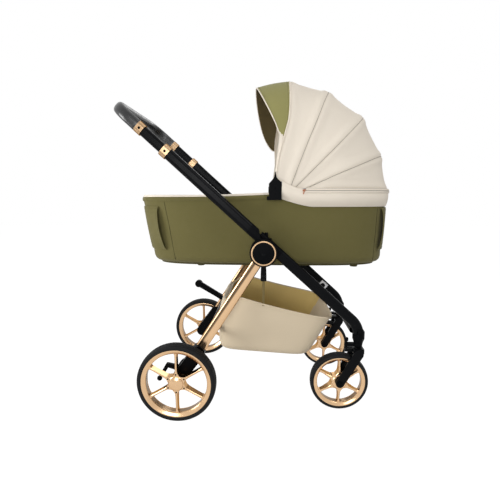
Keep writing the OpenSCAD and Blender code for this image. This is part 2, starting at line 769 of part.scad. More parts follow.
module wheel_shoes() {
    axle = [rear_x, rear_tyre_r];
    color([0.05, 0.05, 0.05]) {
        difference() {
            bar(rear_end, shoe_r, axle, shoe_r, shoe_in, shoe_out);
            rear_leg_solid(rear_leg_d + 0.1, rear_leg_t + 0.1, rear_leg_len + 0.05);
            rod(axle, rear_axle_r + 0.02, shoe_in + 4, shoe_out + 1);
        }
        right() difference() {
            union() {
                bar(rear_end, shoe_r, axle, shoe_r, shoe_in, shoe_out);
                rod(brake_pin, pedal_pin_r, shoe_in - pedal_t - 2, shoe_in + 1);
            }
            rear_leg_solid(rear_leg_d + 0.1, rear_leg_t + 0.1, rear_leg_len + 0.05);
            rod(axle, rear_axle_r + 0.02, shoe_in + 4, shoe_out + 1);
        }
    }
}

module rear_axles() {
    color([0.6, 0.6, 0.62]) both()
        rod([rear_x, rear_tyre_r], rear_axle_r, shoe_in + 4.1, rear_y + rear_tyre_w / 2 - 7);
}

module brake_cable() {
    loop = 30;
    color([0.03, 0.03, 0.03]) translate([rear_x + 10, -shoe_in + 4, rear_tyre_r + 20]) rotate([90, 0, 60])
        rotate_extrude(angle = 180) translate([loop, 0]) circle(2, $fn = 24);
}

// Pedals
module fold_pedal() {
    tip = [fold_pin[0] - fold_pedal_len * cos(fold_pedal_tilt),
        fold_pin[1] + fold_pedal_len * sin(fold_pedal_tilt)];
    y0 = rear_leg_y - pedal_t / 2;
    y1 = rear_leg_y + pedal_t / 2;
    color([0.1, 0.1, 0.1]) difference() {
        union() {
            bar(fold_pin, fold_pedal_eye_r, tip, fold_pedal_arm_r, y0, y1);
            rod(tip, fold_pedal_end_r, y0 - 3, y1 + 3);
        }
        rod(fold_pin, pedal_pin_r + run_gap, y0 - 1, y1 + 1);
    }
}

module brake_pedal() {
    knee = [brake_pin[0] - brake_reach * 4 / 7, brake_pin[1] + brake_drop / 4];
    ball = [brake_pin[0] - brake_reach, brake_pin[1] - brake_drop];
    y0 = -shoe_in + 1;
    y1 = y0 + pedal_t;
    color([0.05, 0.05, 0.05]) difference() {
        union() {
            bar(brake_pin, 9, knee, 7, y0, y1);
            bar(knee, 7, ball, 6, y0, y1);
            translate([ball[0], (y0 + y1) / 2, ball[1]]) sphere(brake_ball_r);
        }
        rod(brake_pin, pedal_pin_r + run_gap, y0 - 1, y1 + 1);
    }
}

// Wheels
module tyre(r, rim, w) {
    crown = 46;
    rotate([-90, 0, 0]) rotate_extrude() intersection() {
        translate([rim + 0.05, -w / 2]) square([r - rim, w]);
        translate([r - crown, 0]) circle(crown);
    }
}

module rim(r, face, w, hub_w, bore) {
    rotate([-90, 0, 0]) difference() {
        union() {
            rotate_extrude() polygon([[r - face, -w * 0.32], [r - 5, -w / 2], [r, -w / 2], [r, w / 2],
                [r - 5, w / 2],
                [r - face, w * 0.32]]);
            translate([0, 0, -hub_w / 2]) cylinder(r = wheel_hub_r, h = hub_w);
            for (i = [0:spoke_count - 1]) rotate(90 + i * 360 / spoke_count) {
                translate([0, 0, -hub_w * 0.34]) linear_extrude(hub_w * 0.68)
                    polygon([[0, -spoke_w / 2], [wheel_hub_r, -spoke_w / 2], [r - face + 2,
                        -spoke_tip_w / 2],
                        [r - face + 2, spoke_tip_w / 2], [wheel_hub_r, spoke_w / 2], [0, spoke_w / 2]]);
                translate([0, 0, -hub_w / 2 + 2]) linear_extrude(hub_w - 4)
                    polygon([[0, -spoke_w / 4], [wheel_hub_r, -spoke_w / 4], [r - face + 2,
                        -spoke_tip_w / 5],
                        [r - face + 2, spoke_tip_w / 5], [wheel_hub_r, spoke_w / 4], [0, spoke_w / 4]]);
            }
        }
        translate([0, 0, -hub_w]) cylinder(r = bore, h = 2 * hub_w);
    }
}

module rear_wheel_at() {
    translate([rear_x, rear_y, rear_tyre_r]) children();
}

module front_wheel_at() {
    translate([front_x, stem_y, front_tyre_r]) children();
}

module rear_tyre() {
    color([0.04, 0.04, 0.04]) rear_wheel_at() tyre(rear_tyre_r, rear_rim_r, rear_tyre_w);
}

module rear_rim() {
    color([0.85, 0.66, 0.46]) rear_wheel_at()
        rim(rear_rim_r, rear_rim_face, rear_tyre_w - 4, rear_tyre_w - 10, rear_axle_r + run_gap);
}

module rear_cap() {
    color([0.85, 0.66, 0.46]) rear_wheel_at() translate([0, (rear_tyre_w - 10) / 2 + 0.02,
        0]) rotate([-90, 0, 0])
        difference() {
            rotate_extrude() difference() {
                intersection() {
                    translate([0, -38]) circle(46);
                    square([wheel_cap_r, 20]);
                }
            }
            translate([0, 0, -1]) cylinder(r = rear_axle_r + 3, h = 4);
        }
}

module rear_tyre_left() {
    rear_tyre();
}

module rear_rim_left() {
    rear_rim();
}

module rear_cap_left() {
    rear_cap();
}

module rear_tyre_right() {
    right() rear_tyre();
}

module rear_rim_right() {
    right() rear_rim();
}

module rear_cap_right() {
    right() rear_cap();
}

module front_tyre() {
    color([0.04, 0.04, 0.04]) front_wheel_at() tyre(front_tyre_r, front_rim_r, front_tyre_w);
}

module front_rim() {
    color([0.85, 0.66, 0.46]) front_wheel_at()
        rim(front_rim_r, front_rim_face, front_tyre_w - 4, front_tyre_w - 2, front_axle_r + run_gap);
}

module front_tyre_left() {
    front_tyre();
}

module front_rim_left() {
    front_rim();
}

module front_tyre_right() {
    right() front_tyre();
}

module front_rim_right() {
    right() front_rim();
}

// Casters
module fork() {
    top = [stem_x - 3, crown_top - fork_top_r];
    axle = [front_x, front_tyre_r];
    slot = lock_pin_r + lock_play;
    prong = 6;
    crown_back = 20;
    color([0.05, 0.05, 0.05]) difference() {
        union() {
            for (s = [-1, 1]) bar(top, fork_top_r, axle, fork_low_r,
                stem_y + (s > 0 ? fork_in : -fork_out), stem_y + (s > 0 ? fork_out : -fork_in));
            translate([stem_x - crown_back, stem_y - fork_in - 1, crown_z])
                cube([crown_back + fork_top_r, 2 * fork_in + 2, crown_top - crown_z]);
            for (s = [-1, 1]) translate([lock_x - lock_pin_r - 3,
                stem_y + (s > 0 ? slot : -slot - prong), crown_z + 3])
                cube([lock_reach - crown_back + lock_pin_r + 2.95, prong, crown_top - crown_z - 4]);
        }
        translate([stem_x, stem_y, crown_z - 1]) cylinder(r = king_r + 0.02, h = 40);
        rod(axle, front_axle_r + 0.02, stem_y - 60, stem_y + 60);
    }
}

module caster_pins() {
    color([0.6, 0.6, 0.62]) {
        translate([stem_x, stem_y, crown_z]) cylinder(r = king_r, h = leg_end_z - crown_z - 6);
        rod([front_x, front_tyre_r], front_axle_r, stem_y - fork_out, stem_y + fork_out);
        for (s = [-1, 1]) translate([0, s * (fork_out + 1.55), 0])
            rod([front_x, front_tyre_r], front_axle_r + 4, stem_y - 1.5, stem_y + 1.5);
    }
}

module fork_left() {
    fork();
}

module fork_right() {
    right() fork();
}

module caster_pins_left() {
    caster_pins();
}

module caster_pins_right() {
    right() caster_pins();
}

module swivel_lock() {
    low = crown_top + 1;
    rest = lock_lug_z + lock_lug_t + lock_stroke + 1;
    color([0.03, 0.03, 0.03]) union() {
        translate([lock_x, stem_y, low]) cylinder(r = lock_pin_r, h = rest - low + 1);
        translate([lock_x, stem_y, rest]) cylinder(r = lock_knob_r, h = 9);
        translate([lock_x, stem_y, rest + 9]) cylinder(r1 = lock_knob_r, r2 = lock_knob_r - 1.5, h = 2);
    }
}

module swivel_lock_left() {
    swivel_lock();
}

module swivel_lock_right() {
    right() swivel_lock();
}

// Cot
function cot_part(z) = (z - cot_low_z) / (cot_rim_z - cot_low_z);
function cot_b(z) = z < cot_belt_z ? mix(cot_low_half, cot_belt_half,
    (z - cot_low_z) / (cot_belt_z - cot_low_z))
    : mix(cot_belt_half, cot_half, (z - cot_belt_z) / (cot_rim_z - cot_belt_z));
function cot_a(z) = mix(cot_low_len, cot_half_len, cot_part(z));
function cot_c(z) = hub_x + mix(cot_low_mid, cot_mid, cot_part(z));
function cot_ring(z, inset, m = 56) = [for (i = [0:m - 1])
    let (p = squared(cot_a(z) - inset, cot_b(z) - inset, cot_square, 360 * i / m)) [cot_c(z) + p[0],
        p[1], z]];

module cot_shell() {
    floor_z = cot_low_z + 7;
    color([0.5, 0.48, 0.28]) loft([
        cot_ring(cot_low_z, 20), cot_ring(cot_low_z + 3, 10), cot_ring(cot_low_z + 10, 3),
        cot_ring(cot_low_z + 22, 0), cot_ring(cot_belt_z, 0), cot_ring(mix(cot_belt_z, cot_rim_z, 0.5), 0),
        cot_ring(cot_rim_z - 8, 0), cot_ring(cot_rim_z, 1.5), cot_ring(cot_rim_z, cot_wall - 1.5),
        cot_ring(cot_rim_z - 6, cot_wall), cot_ring(cot_belt_z, cot_wall), cot_ring(floor_z + 20, cot_wall),
        cot_ring(floor_z + 5, cot_wall + 6), cot_ring(floor_z, cot_wall + 18)]);
}

module cot_base() {
    color([0.07, 0.07, 0.07]) {
        translate([0, 0, cot_low_z - 6.05]) linear_extrude(6)
            polygon([for (p = cot_ring(cot_low_z, 21)) [p[0], p[1]]]);
        both() for (x = foot_x) translate([hub_x + x, foot_y, cot_low_z - 6 - foot_h])
            cylinder(r1 = 12, r2 = 15, h = foot_h);
    }
}

module mattress() {
    z = cot_low_z + 7.5;
    t = mattress_t;
    color([0.93, 0.91, 0.86]) loft([
        cot_ring(z, 44), cot_ring(z + t * 0.1, 34), cot_ring(z + t * 0.35, 29), cot_ring(z + t * 0.6, 30),
        cot_ring(z + t * 0.78, 36), cot_ring(z + t * 0.87, 50), cot_ring(z + t * 0.94, 80),
        cot_ring(z + t, 120)]);
}

module end_strap(s) {
    rows = 9;
    cols = 16;
    top_z = s > 0 ? apron_low_z - 4 : strap_top_z;
    function spot(i, j, out) = let (z = mix(strap_low_z, top_z, i / rows),
        swell = out + strap_x * pow(sin(180 * i / rows), 0.6),
        last = asin(pow(strap_half / cot_b(z), cot_square / 2)),
        p = squared(cot_a(z) + swell, cot_b(z) + swell, cot_square, last * (2 * j / cols - 1)))
        [cot_c(z) + s * p[0], p[1], z];
    if (s > 0) sheet([for (i = [0:rows]) [for (j = [0:cols]) spot(i, j, 2.8)]],
        [for (i = [0:rows]) [for (j = [0:cols]) spot(i, j, 0.5)]]);
    else sheet([for (i = [0:rows]) [for (j = [0:cols]) spot(i, cols - j, 2.8)]],
        [for (i = [0:rows]) [for (j = [0:cols]) spot(i, cols - j, 0.5)]]);
}

module end_straps() {
    color([0.5, 0.48, 0.28]) for (s = [-1, 1]) end_strap(s);
}

module cot_plugs() {
    y0 = leg_in - 12.6;
    color([0.07, 0.07, 0.07]) both() difference() {
        translate([hub_x - 18, y0 - 8, hub_z - 21.9]) cube([36, 17.2, 60]);
        loft([cot_ring(cot_low_z + 22, -0.1), cot_ring(cot_belt_z, -0.1), cot_ring(cot_rim_z - 8, -0.1)]);
    }
}

module hood_brackets() {
    low = bracket_low;
    neck_z = mix(bracket_shoulder_z, bracket_top_z, 0.45);
    color([0.05, 0.05, 0.05]) both() {
        difference() {
            union() {
                translate([bracket_x0, bracket_out, 0]) rotate([90, 0, 0]) linear_extrude(bracket_t)
                    polygon([[0, low], [bracket_w, low], [bracket_w, bracket_shoulder_z],
                        [bracket_w * 0.6, neck_z],
                        [bracket_w * 0.52, bracket_top_z], [bracket_w * 0.48, bracket_top_z],
                            [bracket_w * 0.4, neck_z],
                        [0, bracket_shoulder_z - 4]]);
                translate([bracket_x0 - bracket_foot / 2, cot_b(low + bracket_foot / 2), low])
                    cube([bracket_w + bracket_foot / 2,
                        bracket_in - cot_b(low + bracket_foot / 2) + 0.5, bracket_foot]);
                rod([hood_px, hood_z], hood_pin_r, cot_half + 0.5, bracket_in + 1);
            }
            loft([cot_ring(low - 20, -0.1), cot_ring(cot_rim_z - 8, -0.1), cot_ring(cot_rim_z + 4, -0.1)]);
        }
    }
}

// Hood
function fan(k) = k == 0 ? [hood_px, hood_z] : [hood_px + fan_x, hood_z - fan_drop];
function bow_point(k, r, y) = [fan(k)[0] + r * cos(bow_angle[k]), y, fan(k)[1] + r * sin(bow_angle[k])];
// Points up one side of a bow, over the top and down the other side
hood_arc = 24;
function hood_start(k) = [55, 30, 30, 70][k];
function bow_side(k) = bow_reach[k] - bow_half[k];
function bow_path(k, out) = concat(
    [for (i = [0:3]) bow_point(k, mix(hood_start(k), bow_side(k), i / 4), -bow_half[k] - out)],
    [for (i = [0:hood_arc]) let (t = -90 + 180 * i / hood_arc)
        bow_point(k, bow_side(k) + (bow_half[k] + out + cloth_rise - cloth_gap) * cos(t),
            (bow_half[k] + out) * sin(t))],
    [for (i = [0:3]) bow_point(k, mix(bow_side(k), hood_start(k), (i + 1) / 4), bow_half[k] + out)]);

module bow(k) {
    y1 = bow_half[k];
    y0 = y1 - bow_t;
    f = fan(k);
    foot = bow_point(k, bow_foot, 0);
    color([0.2, 0.2, 0.2]) difference() {
        union() {
            both() {
                bar([hood_px, hood_z], bow_eye_r, [foot[0], foot[2]], bow_w / 2 + 0.8, y0 + bow_step,
                    y1 - bow_step);
                translate([f[0], 0, f[1]]) rotate([0, -bow_angle[k], 0]) translate([bow_foot, y0,
                    -bow_w / 2])
                    cube([bow_side(k) - bow_foot, bow_t, bow_w]);
            }
            translate([f[0], 0, f[1]]) rotate([0, -bow_angle[k], 0]) translate([bow_side(k), 0, -bow_w / 2])
                rotate([0, 0, -90]) rotate_extrude(angle = 180) translate([y0, 0]) square([bow_t, bow_w]);
        }
        both() rod([hood_px, hood_z], hood_pin_r + run_gap, y0 - 1, y1 + 1);
    }
}

module bow_0() {
    bow(0);
}

module bow_1() {
    bow(1);
}

module bow_2() {
    bow(2);
}

module bow_3() {
    bow(3);
}

// Cloth between two bows, stopped short of the next seam
module gore(k) {
    edge = 0.006;
    function row(out, t) = let (p = bow_path(k, out), q = bow_path(k + 1, out))
        [for (i = [0:len(p) - 1]) mix(p[i], q[i], t)];
    color([0.87, 0.84, 0.78]) sheet(
        [for (t = [edge, 0.25, 0.5, 0.75, 1 - edge]) row(cloth_gap + cloth_t, t)],
        [for (t = [edge, 0.25, 0.5, 0.75, 1 - edge]) row(cloth_gap, t)]);
}

module gore_0() {
    gore(0);
}

module gore_1() {
    gore(1);
}

module gore_2() {
    gore(2);
}

// Cloth from the last bow down to the rim round the head
module head_skirt() {
    edge = 0.01;
    ease = 1;
    top_z = apron_top_z - 3;
    start = bow_point(3, hood_start(3), 0)[0] + 2;
    function low(out) = concat(
        [for (i = [0:3]) [mix(start, cot_c(cot_rim_z) + skirt_corner, i / 4), -bow3_y - 0.5 - out, top_z]],
        [for (i = [0:hood_arc]) let (t = -75 + 150 * i / hood_arc,
            p = squared(cot_half_len - 1 + out, bow3_y + 0.5 + out, cot_square,
                t)) [cot_c(cot_rim_z) + p[0], p[1], top_z]],
        [for (i = [0:3]) [mix(cot_c(cot_rim_z) + skirt_corner, start, (i + 1) / 4), bow3_y + 0.5 + out,
            top_z]]);
    function row(out, t) = let (p = bow_path(3, out + ease),
        q = low(out)) [for (i = [0:len(p) - 1]) mix(p[i], q[i], t)];
    color([0.87, 0.84, 0.78]) sheet(
        [for (t = [edge, 0.33, 0.66, 1]) row(cloth_gap + cloth_t, t)],
        [for (t = [edge, 0.33, 0.66, 1]) row(cloth_gap, t)]);
}

module visor() {
    from = 3;
    p = bow_path(0, cloth_gap);
    q = bow_path(0, cloth_gap + cloth_t);
    last = len(p) - 1 - from;
    ahead = 0.6;
    function reach(i) = 4 + visor_len * pow(sin(180 * (i - from) / (last - from)), 1.1);
    function tip(v, i, t) = v + [-t * (reach(i) + ahead) - ahead, 0,
        -t * t * visor_drop * reach(i) / visor_len];
    color([0.5, 0.48, 0.28]) sheet(
        [for (t = [1, 0.66, 0.33, 0]) [for (i = [from:last]) tip(q[i], i, t)]],
        [for (t = [1, 0.66, 0.33, 0]) [for (i = [from:last]) tip(p[i], i, t)]]);
}

module apron() {
    m = 40;
    edge = apron_edge;
    function part(x, run) = min(1, max(0, (x - edge) / run));
    function top_z(x) = mix(apron_shoulder_z, apron_top_z, sin(90 * part(x, apron_fall)));
    function low_z(x) = apron_low_z + apron_rise * pow(1 - part(x, apron_run), 1.4);
    function plan(i, grow_y, grow_x) = let (a = cot_half_len + grow_x,
        last = acos(pow((edge - cot_c(cot_rim_z)) / a, cot_square / 2)), t = last * (2 * i / m - 1),
        p = squared(a, cot_half + grow_y, cot_square, t)) [cot_c(cot_rim_z) + p[0], p[1]];
    wide = bracket_out - cot_half - apron_t - 0.6;
    function top(i, out) = let (p = plan(i, wide + out, apron_clear + out)) [p[0], p[1], top_z(p[0])];
    function mid(i, out) = let (p = plan(i, wide + out, apron_clear + out)) [p[0], p[1], cot_rim_z - 8];
    function low(i, out) = let (q = plan(i, 0, 0), z = low_z(q[0]), a = cot_a(z) + 0.5 + out,
        last = acos(pow((edge - cot_c(z)) / a, cot_square / 2)), t = last * (2 * i / m - 1),
        p = squared(a, cot_b(z) + 0.5 + out, cot_square, t)) [cot_c(z) + p[0], p[1], z];
    color([0.87, 0.84, 0.78]) sheet(
        [[for (i = [0:m]) low(i, apron_t)], [for (i = [0:m]) mid(i, apron_t)], [for (i = [0:m]) top(i,
            apron_t)]],
        [[for (i = [0:m]) low(i, 0)], [for (i = [0:m]) mid(i, 0)], [for (i = [0:m]) top(i, 0)]]);
}

// Basket
function basket_ring(s, inset, m = 44) = let (
    x0 = hub_x + mix(basket_low_x0, basket_top_x0, s) + inset, x1 = hub_x + mix(basket_low_x1,
        basket_top_x1, s) - inset,
    z0 = mix(basket_low_z0, basket_top_z0, s), z1 = mix(basket_low_z1, basket_top_z1, s),
    h = mix(basket_low_half, basket_half, s) - inset)
    [for (i = [0:m - 1]) let (p = squared(1, 1, 5, 360 * i / m))
        [mix(x0, x1, (p[0] + 1) / 2), p[1] * h, mix(z0, z1, (p[0] + 1) / 2)]];

module basket() {
    color([0.8, 0.74, 0.62]) loft([
        basket_ring(0, 12), basket_ring(0.04, 3), basket_ring(0.12, 0), basket_ring(0.4, 0),
            basket_ring(0.7, 0),
        basket_ring(1, 0), basket_ring(1, basket_t), basket_ring(0.7, basket_t), basket_ring(0.4, basket_t),
        basket_ring(0.14, basket_t), basket_ring(0.06, basket_t + 3), basket_ring(0.025, basket_t + 13)]);
}

module basket_straps() {
    w = basket_strap_w;
    top = hub_z - sqrt(hub_r * hub_r - w * w / 4) - 1;
    low = basket_top_z0 - 24;
    share = (0 - basket_top_x0) / (basket_top_x1 - basket_top_x0);
    y = basket_half * pow(1 - pow(abs(2 * share - 1), 5), 1 / 5) + 0.3;
    color([0.04, 0.04, 0.04]) both() {
        translate([hub_x - w / 2, y, low]) cube([w, 1.6, top - low]);
        translate([hub_x - w / 2, y - 6, mix(basket_top_z0, basket_top_z1, share) + 3]) cube([w, 6.1, 1.6]);
        translate([hub_x - w / 2, y, top - 1.6]) cube([w, 14, 1.6]);
    }
}

front_leg_left();
front_leg_right();
front_crossbar();
swivel_housings();
hub_housings();
hub_covers();
hub_rings();
hub_pins();
cot_adapters();
leg_lugs();
basket_straps();
basket();
handle_tubes();
handle_knuckles();
handle_collars();
push_bar();
grip();
grip_collars();
rear_leg_left();
rear_leg_right();
rear_crossbar();
wheel_shoes();
rear_axles();
brake_cable();
fold_pedal();
brake_pedal();
rear_tyre_left();
rear_rim_left();
rear_cap_left();
rear_tyre_right();
rear_rim_right();
rear_cap_right();
fork_left();
caster_pins_left();
fork_right();
caster_pins_right();
front_tyre_left();
front_rim_left();
front_tyre_right();
front_rim_right();
swivel_lock_left();
swivel_lock_right();
cot_button_left();
cot_button_right();
cot_shell();
cot_base();
mattress();
end_straps();
hood_brackets();
cot_plugs();
apron();
bow_0();
bow_1();
bow_2();
bow_3();
gore_0();
gore_1();
gore_2();
head_skirt();
visor();
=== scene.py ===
"""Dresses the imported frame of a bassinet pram: cloth, leather, metal finishes and a plain studio."""

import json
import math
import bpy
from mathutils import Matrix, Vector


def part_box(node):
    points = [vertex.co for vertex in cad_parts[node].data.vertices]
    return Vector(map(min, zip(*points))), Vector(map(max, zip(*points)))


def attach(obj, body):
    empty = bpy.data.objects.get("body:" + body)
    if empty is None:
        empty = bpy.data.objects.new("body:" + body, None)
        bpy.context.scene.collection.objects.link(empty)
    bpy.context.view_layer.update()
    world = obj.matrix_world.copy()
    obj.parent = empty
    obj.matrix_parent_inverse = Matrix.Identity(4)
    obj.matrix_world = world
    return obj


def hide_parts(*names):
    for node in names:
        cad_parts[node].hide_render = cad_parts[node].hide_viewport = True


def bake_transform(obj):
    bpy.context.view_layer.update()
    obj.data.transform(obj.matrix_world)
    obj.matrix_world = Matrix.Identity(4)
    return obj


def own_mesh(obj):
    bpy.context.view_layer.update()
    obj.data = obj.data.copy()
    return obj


bl_info = {
    "name": "Bassinet pram",
    "version": (1, 0, 0),
    "blender": (4, 5, 0),
    "location": "View3D > Sidebar > Pram",
    "description": "Cloth, leather, wheels and finishes for a folding bassinet pram",
    "category": "Object",
}

import bmesh
import bpy
from bpy.props import FloatProperty, FloatVectorProperty, IntProperty, PointerProperty
from mathutils import Vector, noise

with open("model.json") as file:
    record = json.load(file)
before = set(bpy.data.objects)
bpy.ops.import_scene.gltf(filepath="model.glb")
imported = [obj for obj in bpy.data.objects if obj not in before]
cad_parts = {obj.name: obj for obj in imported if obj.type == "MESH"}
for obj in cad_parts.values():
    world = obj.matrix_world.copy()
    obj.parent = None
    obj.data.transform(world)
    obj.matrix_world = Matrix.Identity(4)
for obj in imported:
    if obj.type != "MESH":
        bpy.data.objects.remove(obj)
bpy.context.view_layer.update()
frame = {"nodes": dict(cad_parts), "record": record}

# Places that the frame gives
JOINTS = {j["name"]: Vector(j["pos_m"]) for j in frame["record"]["behaviour"]["joints"] if "pos_m" in j}
HUB = JOINTS["handle_fold"]
LEG = (JOINTS["rear_spin_left"] - HUB).normalized()
LEG_ACROSS = Vector((-LEG.z, 0, LEG.x)).normalized()
HINGE = JOINTS["hood_fold"]
COT_LOW, COT_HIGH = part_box("cot_shell")
COT_MID_X = (COT_LOW.x + COT_HIGH.x) / 2
COT_HALF_LEN = (COT_HIGH.x - COT_LOW.x) / 2
COT_HALF = COT_HIGH.y
RIM_Z = COT_HIGH.z
FLOOR_Z = COT_LOW.z
BOW_HALF = [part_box(f"bow_{k}")[1].y for k in range(4)]
UP = Vector((0, 0, 1))
FULL = 2 * math.pi
SIDES = ((-1, "right"), (1, "left"))


def clamp(value):
    return min(1.0, max(0.0, value))


def lerp(a, b, share):
    return a + (b - a) * share


def angles(count):
    """Even steps round a full turn."""
    return [FULL * i / count for i in range(count)]


def shade(red, green, blue):
    """A display colour, 0 to 255 a channel, as the linear values that shaders take."""
    parts = [v / 255 for v in (red, green, blue)]
    return tuple(v / 12.92 if v <= 0.04045 else ((v + 0.055) / 1.055) ** 2.4 for v in parts)


def tint(name, description, default):
    """A colour that a user may change."""
    return FloatVectorProperty(name=name, description=description, default=default, subtype="COLOR", size=3,
                               min=0, max=1)


def size(name, description, default, low, high):
    """A length that a user may change."""
    return FloatProperty(name=name, description=description, default=default, min=low, max=high,
                         subtype="DISTANCE", unit="LENGTH", precision=4)


class PramColours(bpy.types.PropertyGroup):
    olive: tint("Olive cloth", "Cot and end straps", shade(100, 94, 54))
    # The visor's olive is the cot's olive made lighter: painted light on the visor's lit outside.
    visor: tint("Visor cloth", "Outside of the visor", shade(141, 137, 86))
    olive_dark: tint("Visor lining", "Inside of the visor", shade(95, 83, 54))
    cream: tint("Cream cloth", "Hood panels, apron and piping", shade(231, 221, 206))
    beige: tint("Basket cloth", "Outside of the basket", shade(216, 200, 173))
    basket_in: tint("Basket lining", "Inside of the basket's long walls", shade(226, 199, 130))
    lining: tint("Cot lining", "Inside of the cot", shade(226, 214, 196))
    mattress: tint("Mattress", "Quilted mattress cover", shade(240, 236, 228))
    gold: tint("Rose gold", "Rear legs, rims, rings and collars", (0.66, 0.44, 0.255))
    black: tint("Satin black", "Coated tubes and forks", (0.0032, 0.0035, 0.0042))
    moulded: tint("Moulded black", "Housings, covers and pedals", (0.0026, 0.0028, 0.0034))
    leather: tint("Grip leather", "Push bar cover", (0.0062, 0.0067, 0.0074))
    rubber: tint("Tyre", "Foam rubber tyres", (0.0058, 0.0060, 0.0064))
    copper: tint("Zip puller", "Zip slider and its pull", (0.32, 0.14, 0.08))


class PramSizes(bpy.types.PropertyGroup):
    cloth: size("Cloth", "Thickness of the hood's cloth", 0.0018, 0.001, 0.0025)
    piping: size("Piping", "Radius of the piping on cloth edges", 0.0021, 0.001, 0.004)
    hem: size("Rim hem", "Height of the cot's rolled rim", 0.016, 0.010, 0.022)
    stitch_pitch: size("Stitch pitch", "Distance from stitch to stitch", 0.0046, 0.003, 0.008)
    stitch_length: size("Stitch length", "Length of a stitch", 0.0032, 0.002, 0.006)
    stitch_radius: size("Stitch radius", "Radius of the thread", 0.00042, 0.0002, 0.001)
    visor: size("Visor", "Length of the visor at its middle", 0.110, 0.08, 0.13)
    quilt: size("Quilting", "Distance between the mattress's sewn lines", 0.085, 0.05, 0.15)
    spokes: IntProperty(name="Spokes", description="Spokes of a wheel", default=6, min=5, max=8)
    lugs: IntProperty(name="Tread lugs", description="Lugs round a tyre's shoulder", default=72, min=24, max=120)


def sizes():
    return bpy.context.scene.pram_sizes


# Meshes
def link(name, data):
    obj = bpy.data.objects.new(name, data)
    bpy.context.scene.collection.objects.link(obj)
    return obj


def piece(name, points, faces, materials, uvs=None, marks=None, sharp=42):
    """A smooth mesh object. uvs gives each face's corners, and marks each face's material."""
    mesh = bpy.data.meshes.new(name)
    mesh.from_pydata([tuple(p) for p in points], [], faces)
    for material in materials:
        mesh.materials.append(material)
    if uvs:
        flat = [c for corners in uvs for uv in corners for c in uv]
        mesh.uv_layers.new(name="UVMap").data.foreach_set("uv", flat)
    if marks:
        mesh.polygons.foreach_set("material_index", marks)
    mesh.shade_smooth()
    mesh.set_sharp_from_angle(angle=math.radians(sharp))
    mesh.validate()
    return link(name, mesh)


def solid(name, points, faces, material, uvs=None, sharp=42):
    """A closed mesh with its faces turned outwards."""
    obj = piece(name, points, faces, [material], uvs, sharp=sharp)
    work = bmesh.new()
    work.from_mesh(obj.data)
    bmesh.ops.recalc_face_normals(work, faces=work.faces)
    if work.calc_volume(signed=True) < 0:
        bmesh.ops.reverse_faces(work, faces=work.faces)
    work.to_mesh(obj.data)
    work.free()
    return obj


def arc_sums(points, closed=False):
    """Distance along a line at each of its points, and round to the first where it closes."""
    sums = [0.0]
    for a, b in zip(points, points[1:] + points[:1] if closed else points[1:]):
        sums.append(sums[-1] + (Vector(b) - Vector(a)).length)
    return sums


def evenly(points, count, closed=False):
    """The line through points, cut into count even steps."""
    sums = arc_sums(points, closed)
    loop = points + points[:1] if closed else points
    steps = count if closed else count - 1
    out, i = [], 0
    for k in range(count):
        want = sums[-1] * k / steps
        while i < len(loop) - 2 and sums[i + 1] < want:
            i += 1
        span = sums[i + 1] - sums[i]
        out.append(Vector(loop[i]).lerp(Vector(loop[i + 1]), (want - sums[i]) / span if span else 0))
    return out


def ring_faces(n, m, closed=False):
    """Quads between n rings of m points, with two caps at the end unless the last ring meets the first."""
    faces = [[i * m + j, i * m + (j + 1) % m, (i + 1) % n * m + (j + 1) % m, (i + 1) % n * m + j]
             for i in range(n if closed else n - 1) for j in range(m)]
    return faces if closed else faces + [list(range(m))[::-1], list(range((n - 1) * m, n * m))]


def ring_uvs(u, v):
    """UV corners of those quads, from distances along the path and round a ring."""
    return [[(u[i], v[j]), (u[i], v[j + 1]), (u[i + 1], v[j + 1]), (u[i + 1], v[j])]
            for i in range(len(u) - 1) for j in range(len(v) - 1)]


def cloth_sheet(name, rows, wall, materials, centre):
    """A closed sheet of cloth behind a grid of points on its outer side, with its UV map in metres.
    centre lies behind the sheet, and a second material goes on its inner side."""
    n, m = len(rows), len(rows[0])
    outer, normals, side = [p for row in rows for p in row], [], 0.0
    for i, row in enumerate(rows):
        for j, p in enumerate(row):
            along = row[min(j + 1, m - 1)] - row[max(j - 1, 0)]
            across = rows[min(i + 1, n - 1)][j] - rows[max(i - 1, 0)][j]
            normals.append(along.cross(across).normalized())
            side += normals[-1].dot(p - centre)
    way = 1 if side >= 0 else -1
    inner = [p - normal * wall * way for p, normal in zip(outer, normals)]
    half, second = n * m, len(materials) - 1
    u, v = arc_sums(rows[n // 2]), arc_sums([row[m // 2] for row in rows])
    faces, uvs, marks = [], [], []

    def add(corners, spots, turn=1, mark=0):
        faces.append(corners[::turn * way])
        uvs.append(spots[::turn * way])
        marks.append(mark)

    for i in range(n - 1):
        for j in range(m - 1):
            a = i * m + j
            quad = [a, a + 1, a + m + 1, a + m]
            spots = [(u[j], v[i]), (u[j + 1], v[i]), (u[j + 1], v[i + 1]), (u[j], v[i + 1])]
            add(quad, spots)
            add([half + quad[k] for k in (0, 3, 2, 1)], [spots[k] for k in (0, 3, 2, 1)], mark=second)
    for j in range(m - 1):
        for i, turn in ((0, 1), (n - 1, -1)):
            a = i * m + j
            add([a, half + a, half + a + 1, a + 1], [(u[j], v[i])] * 2 + [(u[j + 1], v[i])] * 2, turn)
    for i in range(n - 1):
        for j, turn in ((0, -1), (m - 1, 1)):
            a = i * m + j
            add([a, half + a, half + a + m, a + m], [(u[j], v[i])] * 2 + [(u[j], v[i + 1])] * 2, turn)
    return piece(name, outer + inner, faces, materials, uvs, marks)


